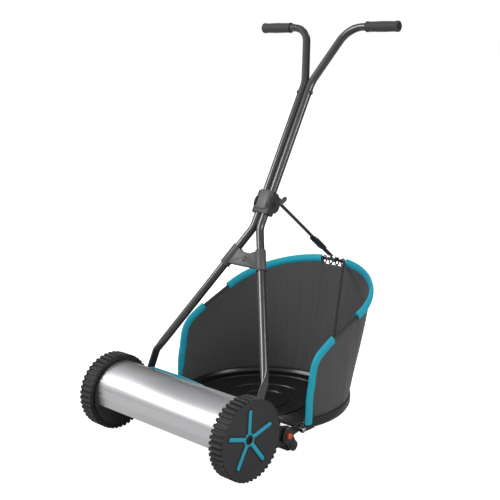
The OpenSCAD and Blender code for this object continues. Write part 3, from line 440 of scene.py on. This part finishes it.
def block(shape, low, high, bevel=0.8, segments=2):
    """A box between two corners with its edges rounded over"""
    size = [high[i] - low[i] for i in range(3)]
    made = bmesh.ops.create_cube(shape, size=1)["verts"]
    place = Matrix.Translation([(low[i] + high[i]) / 2 for i in range(3)]) @ Matrix.Diagonal((*size, 1))
    bmesh.ops.transform(shape, matrix=place, verts=made)
    if bevel:
        softened(shape, list({e for v in made for e in v.link_edges}), bevel, segments)


drum_black = moulded("wheel_drum_black", (0.013, 0.0135, 0.015), (0.026, 0.027, 0.029), 0.46)
gear_cream = moulded("gear_plastic", (0.30, 0.285, 0.24), (0.42, 0.40, 0.34), 0.4)
wear(gear_cream, "pinion_left", "pinion_right", "wheel_bush_left", "wheel_bush_right")
wear(drum_black, "wheel_left", "wheel_right")

tyre_look = Finish("tyre_rubber", Sheen_Weight=0.12, Sheen_Roughness=0.5)
dust = tyre_look.place.noise(60, 5, 0.65)
skin = tyre_look.place.noise(1400, 3, 0.6)
tyre_look.set("Base Color", (dust.step(0.35, 0.8) * 0.75 + skin * 0.25).tint(
    (0.006, 0.006, 0.0062), (0.02, 0.02, 0.0205)))
tyre_look.set("Roughness", 0.46 + dust * 0.22)
tyre_look.bump(skin + dust * 0.5, 0.00012)

cover_look = moulded("cover_charcoal", (0.017, 0.0175, 0.019), (0.028, 0.0285, 0.031), 0.5, 0.0001)
# Near-black plastic worn by the hub caps and the hinge bolt. The same near-black band round each star arm is
# painted shade: it stands for the shadow in the channel the arm sits in.
black_and_painted_shade = moulded("black_and_painted_shade_plastic", (0.006, 0.006, 0.0065), (0.012, 0.012, 0.013), 0.55)
star_look = moulded("star_turquoise", (0.0, 0.30, 0.42), (0.0, 0.38, 0.52), 0.34, 0.00004, Coat_Weight=0.2,
                    Coat_Roughness=0.25)
WHEEL_R, TYRE_OUT, TYRE_IN, LUGS = 105, 272.8, 227.2, 44
DISH = [(0, 11.2), (12.5, 11), (30, 9.8), (60, 7.8), (88, 5), (96, 2.6), (101, 1.2)]


def dish_x(radius):
    for (r0, d0), (r1, d1) in zip(DISH, DISH[1:]):
        if radius <= r1:
            return TYRE_OUT - (d0 + (d1 - d0) * (radius - r0) / (r1 - r0))
    return TYRE_OUT - 1.2


def on_dish(radius, degrees, lift):
    turn = math.radians(degrees)
    return Vector((dish_x(radius) + lift, radius * math.cos(turn), AXLE_Z + radius * math.sin(turn)))


STAR_END, STAR_HALF = 78, 5.4
for side, flip in (("right", Matrix.Identity(4)), ("left", MIRRORED)):
    body = "wheel_" + side
    place = IN_FRAME @ flip
    tyre = bmesh.new()
    turned(tyre, [(93, 228.6), (93, 266.6), (97.6, 266.6), (98.9, 265.4), (99, 250), (99, 230.2),
                  (97.8, 228.6), (93, 228.6)],
           (0, AXLE_Z), 132)
    lug = bmesh.new()
    block(lug, (TYRE_IN + 0.6, -5.6, 96.8), (TYRE_OUT - 6.2, 5.6, 105), 0)
    block(lug, (TYRE_OUT - 7.4, -4.6, 101.7), (TYRE_OUT - 0.5, 4.6, 104.4), 0)
    for vert in lug.verts:
        if vert.co.z > 104:
            vert.co.y *= 0.72
            vert.co.z -= 0.12
    tops = [f for f in lug.faces if f.calc_center_median().z > 104.6]
    bmesh.ops.inset_region(lug, faces=tops, thickness=2.1, depth=0, use_even_offset=True)
    bmesh.ops.translate(lug, vec=(0, 0, -2.4), verts=[v for f in tops for v in f.verts])
    softened(lug, [e for e in lug.edges if e.calc_face_angle(0) > 0.6], 0.45, 1)
    bmesh.ops.scale(lug, vec=(1, 1, -1), verts=lug.verts)
    bmesh.ops.translate(lug, vec=(0, 0, AXLE_Z), verts=lug.verts)
    lug_mesh = bpy.data.meshes.new("lug_shape")
    lug.to_mesh(lug_mesh)
    lug.free()
    body_verts = set(tyre.verts)
    tyre.from_mesh(lug_mesh)
    one_lug = [v for v in tyre.verts if v not in body_verts]
    geometry = [*one_lug, *{e for v in one_lug for e in v.link_edges}, *{f for v in one_lug for f in v.link_faces}]
    bmesh.ops.spin(tyre, geom=geometry, cent=(0, 0, AXLE_Z), axis=(1, 0, 0), dvec=(0, 0, 0),
                   angle=math.tau * (LUGS - 1) / LUGS, steps=LUGS - 1, use_duplicate=True)
    bpy.data.meshes.remove(lug_mesh)
    settle("tyre_piece_" + side, tyre, place, tyre_look, body, ("tyre_" + side,))

    cover = bmesh.new()
    turned(cover, [(12.6, TYRE_OUT - 13.4), (12.6, TYRE_OUT - 10.6), (14, TYRE_OUT - 10.2)]
           + [(r, dish_x(r)) for r in (20, 30, 45, 60, 74, 86)]
           + [(88.5, dish_x(88) + 0.6), (90.5, dish_x(90) + 0.9), (96, TYRE_OUT - 2.3), (99.5, TYRE_OUT - 1.3),
              (100.8, TYRE_OUT - 1.5), (101, TYRE_OUT - 2.4), (101, TYRE_OUT - 3.8), (96, TYRE_OUT - 5.8),
              (90, TYRE_OUT - 8.2), (60, TYRE_OUT - 10.4), (30, TYRE_OUT - 12.4), (12.6, TYRE_OUT - 13.4)],
           (0, AXLE_Z), 128)
    settle("cover_piece_" + side, cover, place, cover_look, body,
           ("wheel_cover_" + side,), sharp=20)

    # Each star arm gets a near-black band a little wider than the arm, laid flat on the dish. This band is painted
    # shade for the channel the arm sits in, and raised lips of cover plastic edge it.
    painted_groove_shade, lips, star = bmesh.new(), bmesh.new(), bmesh.new()
    for k in range(5):
        angle = 90 + 72 * k
        spots = [14 + (STAR_END - 14) * i / 30 for i in range(31)]
        fine = spots[:-1] + [STAR_END - 2.1, STAR_END - 1.2, STAR_END - 0.5, STAR_END - 0.1]
        for piece, half, tall, lift in ((painted_groove_shade, STAR_HALF + 2.3, 0.5, 0.1), (star, STAR_HALF, 1.7, 0.7)):
            stretch = (STAR_END + (half - STAR_HALF) - 14) / (STAR_END - 14)
            line = [on_dish(14 + (r - 14) * stretch, angle, lift) for r in fine]
            reaches = [(1 - (r - 14) / (STAR_END - 14)) * (STAR_END - 14) * stretch for r in fine]

            def arm_outline(t, v, reaches=reaches, half=half, tall=tall):
                reach = reaches[min(round(t * (len(reaches) - 1)), len(reaches) - 1)]
                cap = math.sqrt(max(0.02, 1 - (1 - min(1.0, reach / half)) ** 2))
                c, s = math.cos(math.tau * v), math.sin(math.tau * v)
                return (tall * math.copysign(abs(c) ** 0.5, c) * (0.5 + 0.5 * cap),
                        half * cap * math.copysign(abs(s) ** 0.6, s))
            arm_outline.sides = 20
            sweep(piece, line, [Vector((1, 0, 0))] * len(line), arm_outline)
        half = STAR_HALF + 3.0
        centre_r = STAR_END - STAR_HALF
        edge = [(r, half) for r in range(19, int(centre_r), 5)]
        edge += [(centre_r + half * math.sin(math.radians(a)), half * math.cos(math.radians(a)))
                 for a in range(0, 181, 12)]
        edge += [(r, -half) for r in range(int(centre_r) - 3, 16, -5)]
        lip_line = []
        for r, off in edge:
            radius = math.hypot(r, off)
            lip_line.append(on_dish(radius, angle + math.degrees(math.atan2(off, r)), 0.35))
        sweep(lips, lip_line, [Vector((1, 0, 0))] * len(lip_line), round_section(0.95, 10))
    turned(star, [(12.6, TYRE_OUT - 11), (12.6, TYRE_OUT - 9.6), (13.4, TYRE_OUT - 9.0), (16.2, TYRE_OUT - 9.1),
                  (17, TYRE_OUT - 9.9), (17, TYRE_OUT - 11)], (0, AXLE_Z), 72)
    # The near-black band round the star arms is painted shade for their channel.
    settle("star_groove_" + side, painted_groove_shade, place, black_and_painted_shade, body)
    settle("star_lips_" + side, lips, place, cover_look, body, sharp=60)
    settle("star_piece_" + side, star, place, star_look, body,
           ("wheel_star_" + side,), sharp=44)
    eased_copy("hub_cap_" + side, black_and_painted_shade, body, 0.5)


# ---- Roller and height adjusters
# A hollow plastic roller rides on a steel axle between two brackets; an orange button on each
# side locks the bracket in one of its notches.
roller_look = moulded("roller_black", (0.013, 0.013, 0.0145), (0.026, 0.026, 0.028), 0.42)
button_look = moulded("button_orange", (0.62, 0.055, 0.008), (0.78, 0.10, 0.018), 0.32, 0.00003, Coat_Weight=0.25)
eased_copy("rear_roller", roller_look, "rear_roller", 0.6)
for side in ("left", "right"):
    eased_copy("roller_bracket_" + side, plate_black, "roller_carrier", 0.9)
    eased_copy("height_button_" + side, button_look, "height_button_" + side, 0.4)


# ---- Handle
# Steel tube, flattened and drilled at its feet, bent and powder coated dark grey. The two
# halves fold on one bolt; grips of soft rubber are pushed over the bar's ends.
LEAN = math.radians(28.7)
IN_HANDLE = IN_FRAME @ Matrix.Translation((0, 117, 204)) @ Matrix.Rotation(-LEAN, 4, "X")
tube_look = Finish("tube_grey", Metallic=0.55, Coat_Weight=0.8, Coat_Roughness=0.1)
coat_peel = tube_look.place.noise(900, 2, 0.5)
tube_look.set("Base Color", (tube_look.place.noise(16, 4) * 0.7 + coat_peel * 0.3).tint(
    (0.036, 0.037, 0.039), (0.06, 0.061, 0.064)))
tube_look.set("Roughness", 0.24 + coat_peel * 0.1 + tube_look.place.noise(50, 5).step(0.5, 0.8) * 0.08)
tube_look.bump(coat_peel, 0.00005)

FOOT_X, FOOT_B, FOOT_S, PAIR_X, TUBE_R = 206, 5, -86, 11.5, 11
LOWER_LEAN = math.atan2(FOOT_X - PAIR_X, 396)
FLAT = [(-99, 2.2, 4, 0.5, 5), (-97.5, 2.5, 7, 0.4, 5), (-95, 2.5, 9.8, 0.4, 5), (-91, 2.5, 12, 0.35, 5),
        (-86, 2.5, 13, 0.3, 5), (-70, 2.5, 13, 0.3, 4), (-40, 2.5, 13, 0.3, 2), (-8, 2.5, 13, 0.3, 0),
        (0, 3.6, 12.8, 0.45, 0), (8, 5.8, 12.3, 0.7, 0), (16, 8.6, 11.6, 0.9, 0), (24, 10.4, 11.2, 1, 0)]
bend_line = eased([(FOOT_X - 34 * math.tan(LOWER_LEAN), 0, 34), (PAIR_X, 0, 396), (PAIR_X, 0, 453)], [60], 3)
foot_line = [Vector((FOOT_X - max(s, 0) * math.tan(LOWER_LEAN), b, s)) for s, a, w, p, b in FLAT]
section = [(a, w, p) for s, a, w, p, b in FLAT] + [(TUBE_R, TUBE_R, 1)] * len(bend_line)
lower_line = foot_line + bend_line


def flattened(t, v):
    thick, wide, square = section[min(round(t * (len(section) - 1)), len(section) - 1)]
    c, s = math.cos(math.tau * v), math.sin(math.tau * v)
    return wide * math.copysign(abs(c) ** square, c), thick * math.copysign(abs(s) ** square, s)


flattened.sides = 40
upper_line = eased([(PAIR_X, 0, 486), (PAIR_X, 0, 838), (77, 0, 1009), (241, 0, 1009)], [100, 70], 3)
for side, flip in (("right", Matrix.Identity(4)), ("left", MIRRORED)):
    tube = bmesh.new()
    sweep(tube, lower_line, [Vector((0, 1, 0))] * len(lower_line), flattened)
    settle("lower_tube_piece_" + side, tube, IN_HANDLE @ flip, tube_look, "handle_lower",
           ("lower_tube_" + side,), sharp=50)
    tube = bmesh.new()
    sweep(tube, upper_line, [Vector((0, 1, 0))] * len(upper_line), round_section(TUBE_R, 40))
    settle("upper_tube_piece_" + side, tube, IN_HANDLE @ flip, tube_look, "handle_upper",
           ("upper_tube_" + side,), sharp=50)

joint_look = moulded("joint_grey", (0.058, 0.058, 0.06), (0.088, 0.088, 0.09), 0.46, 0.00009)
joint_pale = moulded("joint_pale_grey", (0.066, 0.066, 0.068), (0.098, 0.098, 0.1), 0.44, 0.00009)
joint_dark = moulded("joint_dark_grey", (0.02, 0.02, 0.021), (0.034, 0.034, 0.035), 0.46, 0.00009)
eased_copy("y_bracket", joint_look, "handle_lower", 1.4)
eased_copy("hinge_block_lower", joint_dark, "handle_lower", 1.0)
eased_copy("hinge_block_upper", joint_pale, "handle_upper", 1.0)
eased_copy("hinge_bolt", black_and_painted_shade, "handle_lower", 0.5)
eased_copy("handle_cross_bolt", joint_dark, "handle_upper", 0.3)
screw_dark = bare_metal("screw_dark_steel", (0.05, 0.05, 0.052), (0.11, 0.11, 0.115), 0.4)
wear(screw_dark, "y_bracket_screw")

grip_look = Finish("grip_rubber", Sheen_Weight=0.15, Sheen_Roughness=0.4)
grip_pores = grip_look.place.noise(1900, 3, 0.6)
wear_marks = grip_look.place.noise(70, 4, 0.6)
grip_look.set("Base Color", (grip_pores * 0.4 + wear_marks * 0.6).tint(
    (0.026, 0.027, 0.029), (0.05, 0.051, 0.054)))
grip_look.set("Roughness", 0.55 + wear_marks * 0.2)
grip_look.bump(grip_pores + wear_marks * 0.6, 0.00015)
for side, flip in (("right", Matrix.Identity(4)), ("left", MIRRORED)):
    grip = bmesh.new()
    profile = [(11.05, 137), (13.4, 137), (14.6, 137.7), (15, 139), (15, 141.5), (14.5, 142.8), (13.8, 144.6)]
    profile += [(13.9 + 0.7 * math.sin(math.pi * i / 12) ** 2 - (0.28 if 2 < i < 6 and i % 2 else 0), 146 + i * 7)
                for i in range(13)]
    profile += [(14.6, 235), (15, 237.5), (15, 240.6), (14.4, 242.2), (13, 243),
                (10.4, 243), (10, 242.4), (9.7, 240.5), (0, 240.2)]
    turned(grip, profile, (0, 1009), 64)
    settle("grip_piece_" + side, grip, IN_HANDLE @ flip, grip_look, "handle_upper",
           ("grip_" + side,))


# ---- Catcher tray and rim wire
# A glossy black moulded tray hooks on the pins behind the side plates; a coated wire bent from
# one length holds the bag's mouth open above it.
tray_look = moulded("tray_black", (0.006, 0.006, 0.0065), (0.013, 0.013, 0.014), 0.3, 0.000015)
scuff = tray_look.place.noise(120, 6, 0.7, stretch=(1, 1, 0.2)).step(0.55, 0.8)
tray_look.set("Roughness", 0.26 + scuff * 0.3)
eased_copy("catcher_tray", tray_look, "catcher", 0.8)

TRAY_Y, RIM_X, RIM_SIDE_Y, RIM_REAR, RIM_LOW_Y, RIM_LOW_Z, RIM_SLOPE = 331, 246, 448, 205, 339, 278, 0.409
FRONT_EDGE = [(243, 69), (244, 100), (245, 134), (248.5, 156), (253, 174), (256, 195),
              (260, 213), (265, 227), (272, 237),
              (283, 248), (296, 256), (316, 267), (RIM_LOW_Y, RIM_LOW_Z)]


def rim_height(y):
    return RIM_LOW_Z + RIM_SLOPE * (y - RIM_LOW_Y)


half_rim = [Vector((RIM_X, y, z)) for y, z in FRONT_EDGE]
half_rim += [Vector((RIM_X, y, rim_height(y))) for y in range(353, 440, 14)]
for step in range(0, 46):
    y = RIM_SIDE_Y + RIM_REAR * math.sin(math.radians(2 * step))
    half_rim.append(Vector((RIM_X * math.cos(math.radians(2 * step)), y, rim_height(y))))
rim_line = half_rim + [Vector((-p.x, p.y, p.z)) for p in reversed(half_rim[:-1])]


def outward(p):
    return Vector((p.x / RIM_X, max(p.y - RIM_SIDE_Y, 0) / RIM_REAR, 0)).normalized()


wire = bmesh.new()
sweep(wire, rim_line, [outward(p) for p in rim_line], round_section(4.5, 16))
settle("rim_wire", wire, IN_FRAME, frame_black, "catcher", ("catcher_rim",), sharp=60)


# ---- Catcher bag
# Charcoal polyester sewn into one wall: its lower edge is pinched in the tray, its upper edge
# hangs from the wire, and it sags a little between the two in shallow upright folds.
bag_look = Finish("bag_weave", Sheen_Weight=0.2, Sheen_Roughness=0.5)
along, upward = bag_look.flat.parts()[:2]
warp = (along * 5200).sin()
weft = (upward * 1100).sin()
weave = (warp * weft) * 0.5 + 0.5
cloud = bag_look.place.noise(14, 4, 0.6)
thread = bag_look.place.noise(900, 2, 0.6)
bag_look.set("Base Color", (cloud * 0.5 + weave * 0.3 + thread * 0.2).tint(
    (0.038, 0.038, 0.039), (0.078, 0.078, 0.08)))
bag_look.set("Roughness", 0.72 + cloud * 0.14)
bag_look.bump(weave + thread * 0.5, 0.00035)

LOW_R, LOW_Z = 245.6, 64


def low_point(p):
    if p.y < RIM_SIDE_Y:
        turn = math.asin((p.y - TRAY_Y) / LOW_R)
    else:
        first = math.asin((RIM_SIDE_Y - TRAY_Y) / LOW_R)
        part = math.atan2((p.y - RIM_SIDE_Y) / RIM_REAR, abs(p.x) / RIM_X) / (math.pi / 2)
        turn = first + (math.pi / 2 - first) * part
    return Vector((math.copysign(LOW_R * math.cos(turn), p.x), TRAY_Y + LOW_R * math.sin(turn), LOW_Z))


bag = bmesh.new()
ROWS = 48
COLUMNS = 4 * (len(rim_line) - 1)
wall = bmesh.ops.create_grid(bag, x_segments=COLUMNS, y_segments=ROWS, size=1, calc_uvs=True)["verts"]
for vert in wall:
    spot = (vert.co.x + 1) / 2 * (len(rim_line) - 1)
    index = min(int(spot), len(rim_line) - 2)
    top = rim_line[index].lerp(rim_line[index + 1], spot - index)
    foot = low_point(top)
    rise = (vert.co.y + 1) / 2
    out = outward(top)
    slack = math.sin(math.pi * rise) ** 0.8
    folds = (math.sin(spot * 1.15 + 1.4 * rise) + 0.6 * math.sin(spot * 2.3 + 0.7 - 2.2 * rise)) * 0.4
    billow = 3.4 * math.sin(math.pi * rise) - 1.4 * math.sin(2 * math.pi * rise)
    low_pinch = folds * 0.9 * math.exp(-((rise - 0.12) / 0.09) ** 2)
    dip = 13 * max(0.0, 1 - (abs(top.x) / 46) ** 6) if top.y > 600 else 0.0
    hung = foot.lerp(top + Vector((0, 0, -3 - dip)), rise)
    vert.co = hung + out * (billow + folds * slack * 0.9 + low_pinch - 1.6)
bag_piece = settle("bag_wall", bag, IN_FRAME, bag_look, "catcher", ("catcher_bag",), sharp=80)
thickness = bag_piece.modifiers.new("cloth_thickness", "SOLIDIFY")
thickness.thickness = 0.0016
thickness.offset = -1

# The turquoise binding is folded over the wire and sewn along both its edges, with gaps at the
# sides and at the back where the wire shows
hem_look = Finish("hem_weave", Sheen_Weight=0.05, Sheen_Roughness=0.4)
run_along, run_round = hem_look.flat.parts()[:2]
hem_weave = ((run_along * 2600).sin() * (run_round * 260).sin()) * 0.5 + 0.5
hem_cloud = hem_look.place.noise(22, 4, 0.6)
hem_look.set("Base Color", (hem_cloud * 0.6 + hem_weave * 0.4).tint((0.0, 0.31, 0.43), (0.0, 0.41, 0.55)))
hem_look.set("Roughness", 0.56 + hem_cloud * 0.2)
hem_look.bump(hem_weave, 0.0003)
stitch_look = moulded("hem_thread", (0.0, 0.32, 0.39), (0.03, 0.46, 0.54), 0.6)
HEM_OUT, HEM_UP = 6.6, 12.0


def hem_outline(t, v):
    c, s = math.cos(math.tau * v), math.sin(math.tau * v)
    pucker = 0.25 * math.sin(t * 190) * abs(s)
    out = HEM_OUT * math.copysign(abs(c) ** 0.75, c) * (1 - 0.42 * max(0.0, -s)) + pucker
    return out, HEM_UP * math.copysign(abs(s) ** 0.9, s)


hem_outline.sides = 28
front_part = [p for p in half_rim if p.y <= RIM_LOW_Y]
rear_part = [Vector((RIM_X, 443, rim_height(443)))] + [p for p in half_rim if p.y >= RIM_SIDE_Y and p.x >= 47]
rear_end = RIM_SIDE_Y + RIM_REAR - 3.8
rear_part.append(Vector((47, rear_end, rim_height(rear_end))))
for side, flip in (("right", Matrix.Identity(4)), ("left", MIRRORED)):
    binding, seam = bmesh.new(), bmesh.new()
    for part in (front_part, rear_part):
        smooth = []
        for i in range(len(part) - 1):
            smooth += [part[i].lerp(part[i + 1], k / 4) for k in range(4)]
        smooth.append(part[-1])
        outs = [outward(p) for p in smooth]
        sweep(binding, smooth, outs, hem_outline)
        for rise in (-8.6,):
            for face in (1, -1):
                ride_line = []
                for i, p in enumerate(smooth):
                    ahead = (smooth[min(i + 1, len(smooth) - 1)] - smooth[max(i - 1, 0)]).normalized()
                    ride_line.append(p + outs[i] * face * 3.5 + ahead.cross(outs[i]) * rise)
                sweep(seam, ride_line, outs, round_section(0.7, 8))
    settle("hem_binding_" + side, binding, IN_FRAME @ flip, hem_look, "catcher",
           ("catcher_hem",) if side == "right" else (), sharp=70)
    settle("hem_seam_" + side, seam, IN_FRAME @ flip, stitch_look, "catcher", sharp=70)

# The wall was cut as one long curved strip: its rim's length by its greatest height
rim_length = sum((after - before).length for before, after in zip(rim_line, rim_line[1:])) / 1000


# ---- Strap and its fittings
# Black webbing runs from a lug on the folding joint through a slide buckle to a steel hook
# round the wire; a thin taut cord braces the wire to the bag's right side.
web_look = Finish("webbing", Sheen_Weight=0.2, Sheen_Roughness=0.4)
web_along, web_round = web_look.flat.parts()[:2]
ribs = (web_along * 900).sin() * 0.5 + 0.5
ridge = (web_round * 150).sin() * 0.5 + 0.5
web_look.set("Base Color", (ribs * 0.4 + ridge * 0.3 + web_look.place.noise(60, 3) * 0.3).tint(
    (0.008, 0.008, 0.0085), (0.026, 0.026, 0.028)))
web_look.set("Roughness", 0.62 + ribs * 0.16)
web_look.bump(ribs + ridge * 0.6, 0.0003)
buckle_look = moulded("buckle_black", (0.008, 0.008, 0.0085), (0.015, 0.015, 0.016), 0.3, 0.00004)
eased_copy("strap_buckle", buckle_look, "strap", 1.2)
eased_copy("strap_hook_upper", buckle_look, "strap", 0.4)
wear(turned_steel, "strap_hook_lower")

LUG = (393.6, 613.5)
REAR = (653.0, rim_height(653))
STRAP_L = math.hypot(LUG[0] - REAR[0], LUG[1] - REAR[1])
STRAP_TILT = math.atan2(REAR[0] - LUG[0], LUG[1] - REAR[1])
IN_STRAP = IN_FRAME @ Matrix.Translation((0, *REAR)) @ Matrix.Rotation(STRAP_TILT, 4, "X")
strap = bmesh.new()
LOW, HIGH, FOLD = 26.0, STRAP_L - 5 - 2.4 - 3 - 4, STRAP_L * 0.24


def web_section(t, v):
    c, s = math.cos(math.tau * v), math.sin(math.tau * v)
    return 0.8 * math.copysign(abs(c) ** 0.5, c), 10 * math.copysign(abs(s) ** 0.45, s)


web_section.sides = 24
main_line = [Vector((0, 0.9 * math.sin(math.pi * k / 60), FOLD + (HIGH - FOLD) * k / 60)) for k in range(61)]
sweep(strap, main_line, [Vector((0, 1, 0))] * len(main_line), web_section)
for lift in (-1.05, 1.05):
    loop_line = [Vector((0, lift + math.copysign(0.25, lift) * math.sin(math.pi * k / 16),
                         LOW + (FOLD + 1 - LOW) * k / 16))
                 for k in range(17)]
    sweep(strap, loop_line, [Vector((0, 1, 0))] * len(loop_line), web_section)
settle("strap_webbing", strap, IN_STRAP, web_look, "strap", ("catcher_strap",), sharp=60)

CORD_FROM = Vector((38, REAR[0] - 5, REAR[1] + 1))
CORD_TO = Vector((RIM_X - 4, RIM_LOW_Y + 10, RIM_LOW_Z + 6))
cord_line = [CORD_FROM.lerp(CORD_TO, k / 24) for k in range(25)]


def rod(shape, start, end, radius, end_radius=None, steps=48, bevel=0.0):
    """A round bar between two points, its ends eased"""
    start, end = Vector(start), Vector(end)
    turn = (end - start).to_track_quat("Z", "Y").to_matrix().to_4x4()
    made = bmesh.ops.create_cone(shape, cap_ends=True, segments=steps, radius1=radius,
                                 radius2=radius if end_radius is None else end_radius,
                                 depth=(end - start).length,
                                 matrix=Matrix.Translation((start + end) / 2) @ turn)["verts"]
    if bevel:
        rims = [e for e in {e for v in made for e in v.link_edges}
                if any(len(f.verts) > 4 for f in e.link_faces)]
        softened(shape, rims, bevel, 2)


cord_look = moulded("cord_black", (0.003, 0.003, 0.003), (0.009, 0.009, 0.0095), 0.75, 0.00008)
ties = bmesh.new()
for x in (-38, -15, 9, 31):
    knot = Vector((x, REAR[0] - 0.5 * (x / 47) ** 2, REAR[1]))
    ring = [knot + Vector((1.5 * math.sin(math.tau * k / 28), 6.6 * math.sin(math.tau * k / 28),
                           -4 + 11 * math.cos(math.tau * k / 28))) for k in range(29)]
    sweep(ties, ring, [Vector((1, 0, 0))] * 29, round_section(2.2, 12))
    rod(ties, knot + Vector((-5, -6, 4)), knot + Vector((6, -5.4, 1)), 3.4, 2.6, 20, 0.8)
settle("rim_ties", ties, IN_FRAME, cord_look, "catcher", sharp=60)
brace = bmesh.new()
sweep(brace, cord_line, [Vector((0, 0, 1))] * len(cord_line), round_section(3.3, 16))
brace_piece = settle("side_cord", brace, IN_FRAME, cord_look, "catcher",
                     ("catcher_side_cord",), sharp=60)
